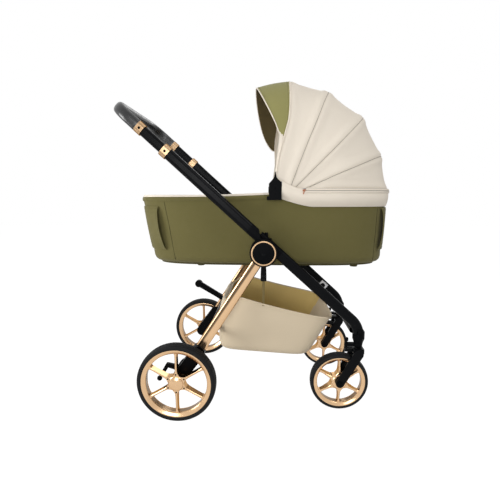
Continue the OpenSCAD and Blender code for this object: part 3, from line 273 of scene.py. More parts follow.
def shell(name, rows, belt, materials, inside):
    """Level rings joined from the outside over the rim to the inside, with two caps. belt is the row that the
    UV map is measured along, and inside says of a face's row and corner if it has the second material."""
    n, m = len(rows), len(rows[0])
    points = [p for row in rows for p in row]
    faces = ring_faces(n, m)
    uvs = [[(v, u) for u, v in corners]
           for corners in ring_uvs(arc_sums([row[0] for row in rows]), arc_sums(rows[belt], True))]
    uvs += [[(points[v].x, points[v].y) for v in cap] for cap in faces[-2:]]
    marks = [int(inside(i, rows[i][j])) for i in range(n - 1) for j in range(m)] + [0, 1]
    return piece(name, points, faces, materials, uvs, marks, sharp=50)


def sweep(name, path, frames, section, material, closed=False):
    """A section of (out, up) offsets carried along a path, with caps where the path is open."""
    points = [p + f[0] * s[0] + f[1] * s[1] for p, f in zip(path, frames) for s in section]
    faces = ring_faces(len(path), len(section), closed)
    uvs = ring_uvs(arc_sums(path, closed), arc_sums([Vector((*s, 0)) for s in section], True))
    if not closed:
        uvs += [[section[v % len(section)] for v in cap] for cap in faces[-2:]]
    return solid(name, points, faces, material, uvs)


def oval(wide, high, count):
    """A section for sweep."""
    return [(wide * math.cos(t), high * math.sin(t)) for t in angles(count)]


def carried(path, closed=False, up=UP):
    """A frame at each point of a path: sideways and upwards, square to the path."""
    n = len(path)
    out = []
    for i in range(n):
        ahead = path[(i + 1) % n] if closed else path[min(i + 1, n - 1)]
        behind = path[i - 1] if closed else path[max(i - 1, 0)]
        along = (ahead - behind).normalized()
        level = up - along * up.dot(along)
        if level.length < 0.2:
            level = Vector((1, 0, 0)) - along * along.x
        up = level.normalized()
        out.append((along.cross(up), up))
    return out


def piping(name, path, radius, material, closed=False, sides=10):
    return sweep(name, path, carried(path, closed), oval(radius, radius, sides), material, closed)


def mirrored(profile):
    """A profile of (radius, y) points and its mirror image, end to end."""
    return profile + [(r, -y) for r, y in profile[::-1]]


def lathe(name, profile, centre, material, steps):
    """A closed profile of (radius, y) points turned about the line through centre along Y."""
    points = [centre + Vector((math.cos(t), 0, math.sin(t))) * r + Vector((0, y, 0))
              for t in angles(steps) for r, y in profile]
    reach = max(r for r, _ in profile)
    uvs = ring_uvs([FULL * reach * i / steps for i in range(steps + 1)],
                   arc_sums([Vector((r, y, 0)) for r, y in profile], True))
    return solid(name, points, ring_faces(steps, len(profile), True), material, uvs, 30)


def joined(name, parts):
    """One mesh object of several, which are removed."""
    work = bmesh.new()
    material = parts[0].data.materials[0]
    for part in parts:
        work.from_mesh(part.data)
        old = part.data
        bpy.data.objects.remove(part)
        bpy.data.meshes.remove(old)
    mesh = bpy.data.meshes.new(name)
    work.to_mesh(mesh)
    work.free()
    mesh.materials.append(material)
    return link(name, mesh)


def plain(obj):
    """Turns an object with modifiers into a plain mesh, in place."""
    deps = bpy.context.evaluated_depsgraph_get()
    mesh = bpy.data.meshes.new_from_object(obj.evaluated_get(deps), depsgraph=deps)
    obj.modifiers.clear()
    old = obj.data
    obj.data = mesh
    mesh.name = obj.name
    bpy.data.meshes.remove(old)
    return obj


def settle(obj, body, slot, *nodes):
    """The piece rides on a body and stands for the CAD nodes, which are hidden. slot is not used."""
    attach(obj, body)
    if nodes:
        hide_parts(*nodes)
    return obj


# Geometry node trees for what repeats
TREE_END = ("place.Instances > real.Geometry, real.Geometry > smooth.Geometry, smooth.Geometry > paint.Geometry, "
            "paint.Geometry > out.Geometry")


def repeat_tree(name, material, inputs, nodes, links):
    """A tree that places instances, and ends with Realize Instances, Set Shade Smooth and Set Material.
    nodes gives each node's key, type and values, and links the sockets to join, by name or number."""
    tree = bpy.data.node_groups.new(name, "GeometryNodeTree")
    socket = tree.interface.new_socket
    socket("Geometry", in_out="INPUT", socket_type="NodeSocketGeometry")
    for label, kind, value in inputs:
        socket(label, in_out="INPUT", socket_type=f"NodeSocket{kind}").default_value = value
    socket("Geometry", in_out="OUTPUT", socket_type="NodeSocketGeometry")

    def pick(sockets, key):
        return sockets[int(key) if key.isdigit() else key]

    made = {}
    for key, kind, values in (("given", "NodeGroupInput", {}), *nodes, ("place", "GeometryNodeInstanceOnPoints", {}),
                              ("real", "GeometryNodeRealizeInstances", {}),
                              ("smooth", "GeometryNodeSetShadeSmooth", {}),
                              ("paint", "GeometryNodeSetMaterial", {"Material": material}),
                              ("out", "NodeGroupOutput", {})):
        node = made[key] = tree.nodes.new(kind)
        for field, value in values.items():
            if hasattr(node, field):
                setattr(node, field, value)
            else:
                pick(node.inputs, field).default_value = value
    for pair in f"{links}, {TREE_END}".split(", "):
        (a, output), (b, given) = (end.split(".") for end in pair.split(" > "))
        tree.links.new(pick(made[a].outputs, output), pick(made[b].inputs, given))
    return tree


def beads_tree(name, material):
    """Long beads, such as stitches or zip teeth, at even steps along the lines of a mesh."""
    return repeat_tree(
        name, material, (("Pitch", "Float", 0.005), ("Length", "Float", 0.003), ("Radius", "Float", 0.0004)),
        (("curve", "GeometryNodeMeshToCurve", {}), ("spread", "GeometryNodeCurveToPoints", {"mode": "LENGTH"}),
         ("turn", "FunctionNodeAlignRotationToVector", {"axis": "Z"}),
         ("bead", "GeometryNodeMeshUVSphere", {"Segments": 6, "Rings": 4}),
         ("half", "ShaderNodeMath", {"operation": "MULTIPLY", "1": 0.5}), ("scale", "ShaderNodeCombineXYZ", {})),
        "given.Geometry > curve.Mesh, curve.Curve > spread.Curve, given.Pitch > spread.Length, "
        "spread.Tangent > turn.Vector, given.Length > half.0, given.Radius > scale.X, given.Radius > scale.Y, "
        "half.0 > scale.Z, spread.Points > place.Points, bead.Mesh > place.Instance, "
        "turn.Rotation > place.Rotation, scale.Vector > place.Scale")


def heads_tree(name, material):
    """Screw or rivet heads at the points of a mesh, each facing the way that its point says."""
    return repeat_tree(
        name, material, (("Radius", "Float", 0.003), ("Height", "Float", 0.001)),
        (("facing", "GeometryNodeInputNamedAttribute", {"data_type": "FLOAT_VECTOR", "Name": "facing"}),
         ("turn", "FunctionNodeAlignRotationToVector", {"axis": "Z"}),
         ("head", "GeometryNodeMeshUVSphere", {"Segments": 16, "Rings": 8}),
         ("scale", "ShaderNodeCombineXYZ", {}), ("points", "GeometryNodeMeshToPoints", {})),
        "given.Geometry > points.Mesh, points.Points > place.Points, facing.Attribute > turn.Vector, "
        "turn.Rotation > place.Rotation, given.Radius > scale.X, given.Radius > scale.Y, "
        "given.Height > scale.Z, scale.Vector > place.Scale, head.Mesh > place.Instance")


def wheel_tree(name, material):
    """Copies of one part, modelled about the origin, set round an axle that runs along Y."""
    return repeat_tree(
        name, material, (("Count", "Int", 6), ("Centre", "Vector", (0, 0, 0))),
        (("points", "GeometryNodePoints", {}), ("index", "GeometryNodeInputIndex", {}),
         ("step", "ShaderNodeMath", {"operation": "DIVIDE", "0": FULL}),
         ("angle", "ShaderNodeMath", {"operation": "MULTIPLY"}), ("euler", "ShaderNodeCombineXYZ", {}),
         ("turn", "FunctionNodeEulerToRotation", {})),
        "given.Count > points.Count, given.Centre > points.Position, given.Count > step.1, step.0 > angle.0, "
        "index.0 > angle.1, angle.0 > euler.Y, euler.0 > turn.0, points.0 > place.Points, "
        "given.Geometry > place.Instance, turn.0 > place.Rotation")


def grown(obj, tree, **values):
    """The plain mesh that a tree makes of an object."""
    mod = obj.modifiers.new(tree.name, "NODES")
    mod.node_group = tree
    for item in tree.interface.items_tree:
        if item.item_type == "SOCKET" and item.in_out == "INPUT" and item.name in values:
            mod[item.identifier] = values[item.name]
    return plain(obj)


def stitches(name, lines, tree, scale=1.0):
    """A row of stitches along each of several lines of points."""
    points, edges = [], []
    for line in lines:
        first = len(points)
        points += [tuple(p) for p in line]
        edges += [(first + i, first + i + 1) for i in range(len(line) - 1)]
    mesh = bpy.data.meshes.new(name)
    mesh.from_pydata(points, edges, [])
    s = sizes()
    return grown(link(name, mesh), tree, Pitch=s.stitch_pitch * scale, Length=s.stitch_length * scale,
                 Radius=s.stitch_radius * scale)


def heads(name, spots, tree, radius, height):
    """Screw heads at (place, facing) spots."""
    mesh = bpy.data.meshes.new(name)
    mesh.from_pydata([tuple(p) for p, _ in spots], [], [])
    facing = mesh.attributes.new("facing", "FLOAT_VECTOR", "POINT")
    facing.data.foreach_set("vector", [c for _, f in spots for c in f])
    return grown(link(name, mesh), tree, Radius=radius, Height=height)


# Materials
class Finish:
    """A material's node tree round one Principled shader."""

    def __init__(self, name, roughness, metallic=0.0, gloss=0.5):
        self.material = bpy.data.materials.new(name)
        self.material.use_nodes = True
        self.tree = self.material.node_tree
        self.shader = self.tree.nodes["Principled BSDF"]
        self.shader.inputs["Roughness"].default_value = roughness
        self.shader.inputs["Metallic"].default_value = metallic
        self.shader.inputs["Specular IOR Level"].default_value = gloss
        self.normal = None

    def node(self, kind, **values):
        made = self.tree.nodes.new(kind)
        for key, value in values.items():
            if hasattr(made, key):
                setattr(made, key, value)
            else:
                made.inputs[key.replace("_", " ")].default_value = value
        return made

    def wire(self, a, b):
        self.tree.links.new(a, b)

    def coords(self, kind):
        return self.node("ShaderNodeTexCoord").outputs[kind]

    def noise(self, where, scale, detail=4.0):
        made = self.node("ShaderNodeTexNoise", Scale=scale, Detail=detail, Roughness=0.55)
        self.wire(where, made.inputs["Vector"])
        return made.outputs["Fac"]

    def bands(self, where, pitch, direction):
        """Waves from 0 to 1 across a coordinate, one each pitch."""
        made = self.node("ShaderNodeTexWave", Scale=math.pi / 10 / pitch, Distortion=0.0)
        made.wave_type = "BANDS"
        made.bands_direction = direction
        self.wire(where, made.inputs["Vector"])
        return made.outputs["Fac"]

    def math(self, operation, *values):
        made = self.node("ShaderNodeMath", operation=operation)
        for i, v in enumerate(values):
            if isinstance(v, (int, float)):
                made.inputs[i].default_value = v
            else:
                self.wire(v, made.inputs[i])
        return made.outputs[0]

    def both(self, a, b, share):
        """A blend of two values, with a share of the second."""
        return self.math("ADD", self.math("MULTIPLY", a, 1 - share), self.math("MULTIPLY", b, share))

    def ramp(self, value, low, high, start=0.0, end=1.0):
        """A value mapped from low to high into start to end."""
        made = self.node("ShaderNodeMapRange", From_Min=low, From_Max=high, To_Min=start, To_Max=end)
        self.wire(value, made.inputs["Value"])
        return made.outputs["Result"]

    def tones(self, value, colour, low, high):
        """A colour from low times to high times its brightness."""
        made = self.node("ShaderNodeMix", data_type="RGBA")
        made.inputs[6].default_value = (*scaled(colour, low), 1)
        made.inputs[7].default_value = (*scaled(colour, high), 1)
        self.wire(value, made.inputs[0])
        return made.outputs[2]

    def paint(self, socket):
        self.wire(socket, self.shader.inputs["Base Color"])

    def rough(self, value, low, high):
        self.wire(self.ramp(value, 0.25, 0.75, low, high), self.shader.inputs["Roughness"])

    def bump(self, height, strength, distance):
        made = self.node("ShaderNodeBump", Strength=strength, Distance=distance)
        self.wire(height, made.inputs["Height"])
        if self.normal:
            self.wire(self.normal, made.inputs["Normal"])
        self.normal = made.outputs["Normal"]
        self.wire(self.normal, self.shader.inputs["Normal"])


def scaled(colour, share):
    return tuple(min(1.0, c * share) for c in colour)


def cloth_finish(name, colour, thread, mottle=0.06, sheen=0.12, grain=0.00012):
    """Woven cloth: threads both ways on the UV map, a soft mottle and a little sheen."""
    f = Finish(name, 0.82, gloss=0.2)
    uv = f.coords("UV")
    weave = f.math("MULTIPLY", f.bands(uv, thread, "X"), f.bands(uv, thread, "Y"))
    f.paint(f.tones(f.both(f.noise(uv, 9, 3.0), weave, 0.2), colour, 1 - mottle, 1 + mottle))
    f.rough(f.noise(uv, 60), 0.74, 0.9)
    f.shader.inputs["Sheen Weight"].default_value = sheen
    f.shader.inputs["Sheen Roughness"].default_value = 0.5
    f.bump(f.noise(uv, 28, 3.0), 0.35, 0.0012)
    f.bump(weave, 0.6, grain)
    return f.material


def hide_finish(name, colour, roughness, cell, depth, mottle=0.05, gloss=0.3):
    """Leather or leatherette: pebbled cells with creases on the UV map."""
    f = Finish(name, roughness, gloss=gloss)
    uv = f.coords("UV")
    cells = f.node("ShaderNodeTexVoronoi", Scale=1 / cell, feature="DISTANCE_TO_EDGE")
    f.wire(uv, cells.inputs["Vector"])
    crease = f.ramp(cells.outputs["Distance"], 0.0, 0.25)
    f.paint(f.tones(f.both(f.noise(uv, 11, 3.0), crease, 0.25), colour, 1 - mottle, 1 + mottle))
    f.rough(f.noise(uv, 45), roughness - 0.07, roughness + 0.09)
    f.bump(f.noise(uv, 24, 2.0), 0.2, 0.0008)
    f.bump(crease, 0.35, depth)
    return f.material


def metal_finish(name, colour, roughness, spread=0.05, rim=(1.0, 1.0, 1.0), painted_reflection=None):
    """Bright plated metal with fine polishing marks and faint smudges. rim tints what it shows at a glance;
    painted_reflection, a direction, where on it and a half width, is a darker line painted along a tube,
    a painted reflection of dark surroundings."""
    f = Finish(name, roughness, 1.0)
    f.shader.inputs["Specular Tint"].default_value = (*rim, 1)
    where = f.coords("Object")
    smudge = f.noise(where, 38)
    tone = f.tones(smudge, colour, 0.95, 1.04)
    # A darker line along the tube: a painted reflection, not a mark on the metal.
    if painted_reflection:
        across, at, half = painted_reflection
        dot = f.node("ShaderNodeVectorMath", operation="DOT_PRODUCT")
        dot.inputs[1].default_value = across
        f.wire(where, dot.inputs[0])
        away = f.math("ABSOLUTE", f.math("SUBTRACT", dot.outputs["Value"], at))
        blend = f.node("ShaderNodeMix", data_type="RGBA")
        blend.inputs[6].default_value = (*scaled(colour, 0.2), 1)
        f.wire(f.ramp(away, 0.55 * half, 1.3 * half), blend.inputs[0])
        f.wire(tone, blend.inputs[7])
        tone = blend.outputs[2]
    f.paint(tone)
    f.rough(smudge, roughness - spread, roughness + spread)
    f.bump(f.noise(where, 900, 2.0), 0.06, 0.00008)
    return f.material


def coat_finish(name, colour, roughness, grain, strength, gloss=0.14):
    """Coated or moulded black: a fine grain, with paler rub marks here and there."""
    f = Finish(name, roughness, gloss=gloss)
    where = f.coords("Object")
    rub = f.noise(where, 21)
    f.paint(f.tones(rub, colour, 0.8, 1.5))
    f.rough(rub, roughness - 0.06, roughness + 0.08)
    f.bump(f.noise(where, grain, 2.0), strength, 0.0002)
    return f.material


def rubber_finish(name, colour):
    f = Finish(name, 0.72, gloss=0.16)
    where = f.coords("Object")
    dust = f.noise(where, 26)
    f.paint(f.tones(dust, colour, 0.75, 1.7))
    f.rough(dust, 0.6, 0.82)
    f.bump(f.noise(where, 700, 3.0), 0.35, 0.0003)
    return f.material


def webbing_finish(name, colour):
    f = Finish(name, 0.8, gloss=0.1)
    ribs = f.bands(f.coords("Object"), 0.0018, "Z")
    f.paint(f.tones(ribs, colour, 0.7, 1.6))
    f.bump(ribs, 0.5, 0.0004)
    return f.material


FINISHES = {}


def make_finishes():
    c = bpy.context.scene.pram_colours
    # The rear legs' gold has a darker line painted along each leg, a painted reflection.
    gold_rim, leg_painted_reflection = (0.42, 0.27, 0.16), (LEG_ACROSS, LEG_ACROSS.dot(HUB) - 0.0058, 0.0052)
    FINISHES.update(
        olive=cloth_finish("olive_cloth", c.olive, 0.0009, 0.07, 0.1),
        olive_in=cloth_finish("visor_lining", c.olive_dark, 0.0009, 0.06, 0.05),
        cream=hide_finish("cream_leatherette", c.cream, 0.62, 0.0016, 0.00010, 0.03),
        beige=cloth_finish("basket_cloth", c.beige, 0.0012, 0.05, 0.1),
        basket_in=cloth_finish("basket_lining", c.basket_in, 0.0012, 0.06, 0.1),
        lining=cloth_finish("cot_lining", c.lining, 0.001, 0.03, 0.15),
        mattress=cloth_finish("mattress_knit", c.mattress, 0.0016, 0.02, 0.2, 0.0003),
        gold=metal_finish("rose_gold", c.gold, 0.2, 0.03, gold_rim),
        collar_gold=metal_finish("collar_gold", scaled(c.gold, 0.62), 0.24, 0.03, (0.3, 0.19, 0.11)),
        leg_gold=metal_finish("leg_gold", c.gold, 0.2, 0.03, gold_rim, leg_painted_reflection),
        black=coat_finish("satin_black", c.black, 0.25, 1400, 0.04, 0.055),
        moulded=coat_finish("moulded_black", c.moulded, 0.38, 900, 0.10, 0.03),
        # The olive darkened: painted shade along the cot's lower edge, where the base shows.
        base=coat_finish("base_olive_painted_shade", scaled(c.olive, 0.42), 0.6, 900, 0.10),
        sleeve=coat_finish("bow_sleeve", scaled(c.cream, 0.9), 0.7, 900, 0.10),
        # Darkened cream: dark lines of painted shade in the hood's seams and beside the zip, and the zip's teeth.
        seam=cloth_finish("seam_shadow", scaled(c.cream, 0.46), 0.0008),
        seam_olive=cloth_finish("cot_seam", scaled(c.olive, 0.42), 0.0008),
        # A lighter copy of the olive, painted light on the visor.
        visor=cloth_finish("visor_cloth_painted_light", c.visor, 0.0009, 0.07, 0.1),
        # The lining darkened to about a quarter: painted shade on the basket straps' loops.
        loop=cloth_finish("strap_loop_painted_shade", scaled(c.basket_in, 0.24), 0.0012, 0.06, 0.1),
        # A darkened copy of the gold for a band in each rim's barrel: painted shade and painted reflection.
        barrel=metal_finish("rim_barrel", scaled(c.gold, 0.34), 0.25),
        steel=metal_finish("pin_steel", (0.56, 0.56, 0.57), 0.28),
        strip=metal_finish("bow_strip", (0.20, 0.20, 0.21), 0.4),
        leather=hide_finish("grip_leather", c.leather, 0.31, 0.0021, 0.00003, 0.10, 0.55),
        rubber=rubber_finish("tyre_rubber", c.rubber),
        webbing=webbing_finish("black_webbing", c.moulded),
        copper=metal_finish("zip_copper", c.copper, 0.3),
        thread_cream=cloth_finish("cream_thread", scaled(c.cream, 0.82), 0.0008),
        thread_olive=cloth_finish("olive_thread", scaled(c.olive, 0.72), 0.0008),
        thread_grey=cloth_finish("grey_thread", (0.11, 0.11, 0.115), 0.0008),
    )


NODE_FINISHES = {
    "black": "front_leg_left front_leg_right front_crossbar handle_tubes rear_crossbar push_bar fork_left fork_right",
    "leg_gold": "rear_leg_left rear_leg_right",
    "collar_gold": "handle_collars grip_collars",
    "gold": "hub_rings rear_cap_left rear_cap_right",
    "moulded": "swivel_housings hub_housings hub_covers cot_adapters handle_knuckles wheel_shoes fold_pedal "
               "brake_pedal swivel_lock_left swivel_lock_right cot_button_left cot_button_right cot_plugs "
               "hood_brackets brake_cable caster_pins_left caster_pins_right",
    "steel": "hub_pins rear_axles leg_lugs",
    "strip": "bow_1 bow_2 bow_3",
    "sleeve": "bow_0",
    "base": "cot_base",
}


# Forms of the cot and the hood, which several pieces share
BELT_Z = 0.606
BELT_HALF = 0.175
LOW_HALF = 0.158
LOW_HALF_LEN = 0.413
LOW_AHEAD = 0.014
COT_SQUARE = 3.6
RIM_FALL = 0.0085
FALL_FROM = 0.05
FALL_RUN = 0.3
FALL_LOW_Z = 0.62
SEAM_RADIUS = 0.0009


def squared(a, b, power, t):
    """A point of a squared ellipse."""
    c, s = math.cos(t), math.sin(t)
    return (a * math.copysign(abs(c) ** (2 / power), c), b * math.copysign(abs(s) ** (2 / power), s))


def cot_size(z):
    """Half-length, half-width and middle of the cot's outline at a height."""
    part = (z - FLOOR_Z) / (RIM_Z - FLOOR_Z)
    if z < BELT_Z:
        half = lerp(LOW_HALF, BELT_HALF, (z - FLOOR_Z) / (BELT_Z - FLOOR_Z))
    else:
        half = lerp(BELT_HALF, COT_HALF, (z - BELT_Z) / (RIM_Z - BELT_Z))
    return lerp(LOW_HALF_LEN, COT_HALF_LEN, part), half, COT_MID_X + LOW_AHEAD * (1 - part)


def rim_fall(p):
    """The rim lies lower towards the foot of the cot."""
    along = clamp((COT_MID_X + FALL_FROM - p.x) / FALL_RUN)
    up = clamp((p.z - FALL_LOW_Z) / (RIM_Z - FALL_LOW_Z))
    return p - UP * RIM_FALL * math.sin(math.pi / 2 * along) * up


def cot_ring(z, inset, count, height=None):
    """A ring round the cot, inset from its outline at z, with even steps."""
    a, b, mid = cot_size(z)
    level = z if height is None else height
    dense = [squared(a - inset, b - inset, COT_SQUARE, t) for t in angles(720)]
    return evenly([Vector((mid + x, y, level)) for x, y in dense], count, True)


BOW_ANGLE = [math.radians(v) for v in (83.5, 66.8, 45.2, 22.0)]
BOW_REACH = [0.372, 0.388, 0.384, 0.366]
PANEL_START = [0.040, 0.022, 0.030, 0.070]
FAN = HINGE + Vector((0.038, 0, -0.026))
BOW_RISE = 0.0015
BOW_GAP = 0.0009

# How far the sewn lines lie from their bows, along X and Z, at angles up the side and over the top
SEAMS = {
    0: ((-90, 0, 0), (-60, 0, 0), (-30, 0.0055, 0), (0, 0.013, 0), (12, 0.0195, 0), (24, 0.0185, 0),
        (36, 0.0155, 0), (48, 0.0125, 0), (60, 0.010, 0), (90, 0.008, 0)),
    1: ((-90, 0, 0), (-45, -0.004, 0.0024), (0, -0.0066, 0.0040), (40, -0.008, 0.0048), (70, -0.005, 0.0030),
        (90, -0.0025, 0.0015)),
    3: ((-90, 0, 0), (0, 0, 0.005), (45, 0, 0.006), (90, 0, 0.002)),
}
FAR_SEAMS = {
    **SEAMS,
    0: ((-90, 0, 0), (-60, 0, 0), (-30, -0.005, 0), (0, -0.012, 0), (12, -0.014, 0), (24, -0.012, 0),
        (36, -0.008, 0), (48, -0.0035, 0), (60, 0.0005, 0), (75, 0.005, 0), (90, 0.008, 0)),
}


def seam_shift(k, angle, way):
    """Offset of a sewn line from its bow, at -90 degrees at its foot, 0 where it bends and 90 on top."""
    table = (FAR_SEAMS if way > 0 else SEAMS).get(k, ())
    for (a, ax, az), (b, bx, bz) in zip(table, table[1:]):
        if a <= angle <= b:
            share = (angle - a) / (b - a)
            return Vector((lerp(ax, bx, share), 0, lerp(az, bz, share)))
    return Vector((0, 0, 0))


def bow_point(k, reach, y):
    foot = HINGE if k == 0 else FAN
    return Vector((foot.x + reach * math.cos(BOW_ANGLE[k]), y, foot.z + reach * math.sin(BOW_ANGLE[k])))


def bow_line(k, out, side=14, arc=64):
    """The sewn line up one side of a bow, over its top and down the other, out from the bow's outer face."""
    wide = BOW_HALF[k] + out
    top = BOW_REACH[k] - BOW_HALF[k]
    up, down = ([bow_point(k, lerp(PANEL_START[k], top, i / side), way * wide)
                 + seam_shift(k, 90 * (i / side - 1), way) for i in range(side)] for way in (-1, 1))
    over = []
    for i in range(arc + 1):
        t = -math.pi / 2 + math.pi * i / arc
        over.append(bow_point(k, top + (wide + BOW_RISE) * math.cos(t), wide * math.sin(t))
                    + seam_shift(k, 90 - abs(math.degrees(t)), t))
    return up + over + down[::-1]


LEAST_FILL = 0.31


def declare_sheet(rows):
    """The area is taken as no less than LEAST_FILL of the rectangle round it."""
    area = 0.0
    for r, q in zip(rows, rows[1:]):
        for i in range(len(r) - 1):
            area += ((r[i + 1] - r[i]).cross(q[i] - r[i])).length / 2
            area += ((q[i + 1] - q[i]).cross(q[i + 1] - r[i + 1])).length / 2
    length = max(arc_sums(r)[-1] for r in rows)
    width = max(arc_sums([r[j] for r in rows])[-1] for j in range(len(rows[0])))
    area = min(max(area, LEAST_FILL * width * length), width * length)


class Piece:
    """What every operator of the pram shares."""

    bl_options = {"REGISTER"}

    def execute(self, context):
        self.make()
        return {"FINISHED"}


class PRAM_OT_stage(Piece, bpy.types.Operator):
    """White floor and surround, soft lamps and the camera"""

    bl_idname = "pram.stage"
    bl_label = "Stage"

    CAMERA = Vector((HUB.x + 0.0102, -1.415, 0.733))
    PITCH = math.radians(-8.05)
    YAW = math.radians(-2.6)
    FOCAL_PX = 373
    FRAME_PX = 500
    # Name, place, width and power of each lamp
    LAMPS = (("key_lamp", (-2.1, -0.9, 0.95), 0.9, 31), ("fill_lamp", (1.5, -1.4, 2.6), 1.2, 23),
             ("low_lamp", (-0.4, -2.6, 1.1), 1.0, 20), ("top_lamp", (0.1, -0.1, 3.0), 1.4, 5),
             ("back_lamp", (0.4, 2.6, 2.0), 1.2, 10))
    LAMP_AIM = Vector((0.05, 0, 0.6))
    SURROUND_LIGHT = 0.24
    FLOOR_HALF = 8.0
    FLOOR_GREY = 0.8
    FLOOR_FAINT = 0.22
    FLOOR_GLOW = 0.95

    def seen(self, tree):
        """1 for rays from the camera, mirrors and glass, which see the surround as white."""
        path = tree.nodes.new("ShaderNodeLightPath")
        total = path.outputs["Is Camera Ray"]
        for name in ("Is Glossy Ray", "Is Transmission Ray"):
            either = tree.nodes.new("ShaderNodeMath")
            either.operation = "MAXIMUM"
            tree.links.new(total, either.inputs[0])
            tree.links.new(path.outputs[name], either.inputs[1])
            total = either.outputs[0]
        return total

    def split(self, tree, others, shown, kind):
        """Ends a tree with one shader for the rays that see white, and another for all others."""
        mix = tree.nodes.new("ShaderNodeMixShader")
        out = tree.nodes.new(kind)
        tree.links.new(self.seen(tree), mix.inputs[0])
        tree.links.new(others.outputs[0], mix.inputs[1])
        tree.links.new(shown.outputs[0], mix.inputs[2])
        tree.links.new(mix.outputs[0], out.inputs[0])

    def surround(self):
        world = bpy.context.scene.world or bpy.data.worlds.new("surround")
        bpy.context.scene.world = world
        world.use_nodes = True
        tree = world.node_tree
        tree.nodes.clear()
        shown, light = (tree.nodes.new("ShaderNodeBackground") for _ in range(2))
        for node, strength in ((shown, 1.0), (light, self.SURROUND_LIGHT)):
            node.inputs["Color"].default_value = (1, 1, 1, 1)
            node.inputs["Strength"].default_value = strength
        self.split(tree, light, shown, "ShaderNodeOutputWorld")

    def floor(self):
        half = self.FLOOR_HALF
        mesh = bpy.data.meshes.new("floor")
        mesh.from_pydata([(-half, -half, 0), (half, -half, 0), (half, half, 0), (-half, half, 0)], [], [(0, 1, 2, 3)])
        material = bpy.data.materials.new("white_floor")
        material.use_nodes = True
        tree = material.node_tree
        tree.nodes.clear()
        matt, faint = (tree.nodes.new("ShaderNodeBsdfDiffuse") for _ in range(2))
        for node, grey in ((matt, self.FLOOR_GREY), (faint, self.FLOOR_FAINT)):
            node.inputs["Color"].default_value = (grey, grey, grey, 1)
        glow = tree.nodes.new("ShaderNodeEmission")
        glow.inputs["Strength"].default_value = self.FLOOR_GLOW
        both = tree.nodes.new("ShaderNodeAddShader")
        tree.links.new(faint.outputs[0], both.inputs[0])
        tree.links.new(glow.outputs[0], both.inputs[1])
        self.split(tree, matt, both, "ShaderNodeOutputMaterial")
        mesh.materials.append(material)
        link("floor", mesh)

    def lamps(self):
        for name, place, width, power in self.LAMPS:
            data = bpy.data.lights.new(name, "AREA")
            data.energy = power
            data.size = width
            lamp = link(name, data)
            lamp.location = place
            lamp.rotation_euler = (self.LAMP_AIM - Vector(place)).to_track_quat("-Z", "Y").to_euler()

    def camera(self):
        data = bpy.data.cameras.new("camera")
        data.sensor_width = 36
        data.sensor_fit = "HORIZONTAL"
        data.lens = data.sensor_width * self.FOCAL_PX / self.FRAME_PX
        data.clip_end = 40
        camera = link("camera", data)
        camera.location = self.CAMERA
        level = math.cos(self.PITCH)
        aim = Vector((math.sin(self.YAW) * level, math.cos(self.YAW) * level, math.sin(self.PITCH)))
        camera.rotation_euler = aim.to_track_quat("-Z", "Y").to_euler()
        bpy.context.scene.camera = camera

    def make(self):
        bpy.context.scene.view_settings.view_transform = "Standard"
        self.surround()
        self.floor()
        self.lamps()
        self.camera()


class PRAM_OT_frame(Piece, bpy.types.Operator):
    """Finishes for the tubes, housings, pins and other rigid parts"""

    bl_idname = "pram.frame"
    bl_label = "Frame finishes"

    def make(self):
        make_finishes()
        for finish, names in NODE_FINISHES.items():
            for name in names.split():
                mesh = frame["nodes"][name].data
                mesh.materials.clear()
                mesh.materials.append(FINISHES[finish])


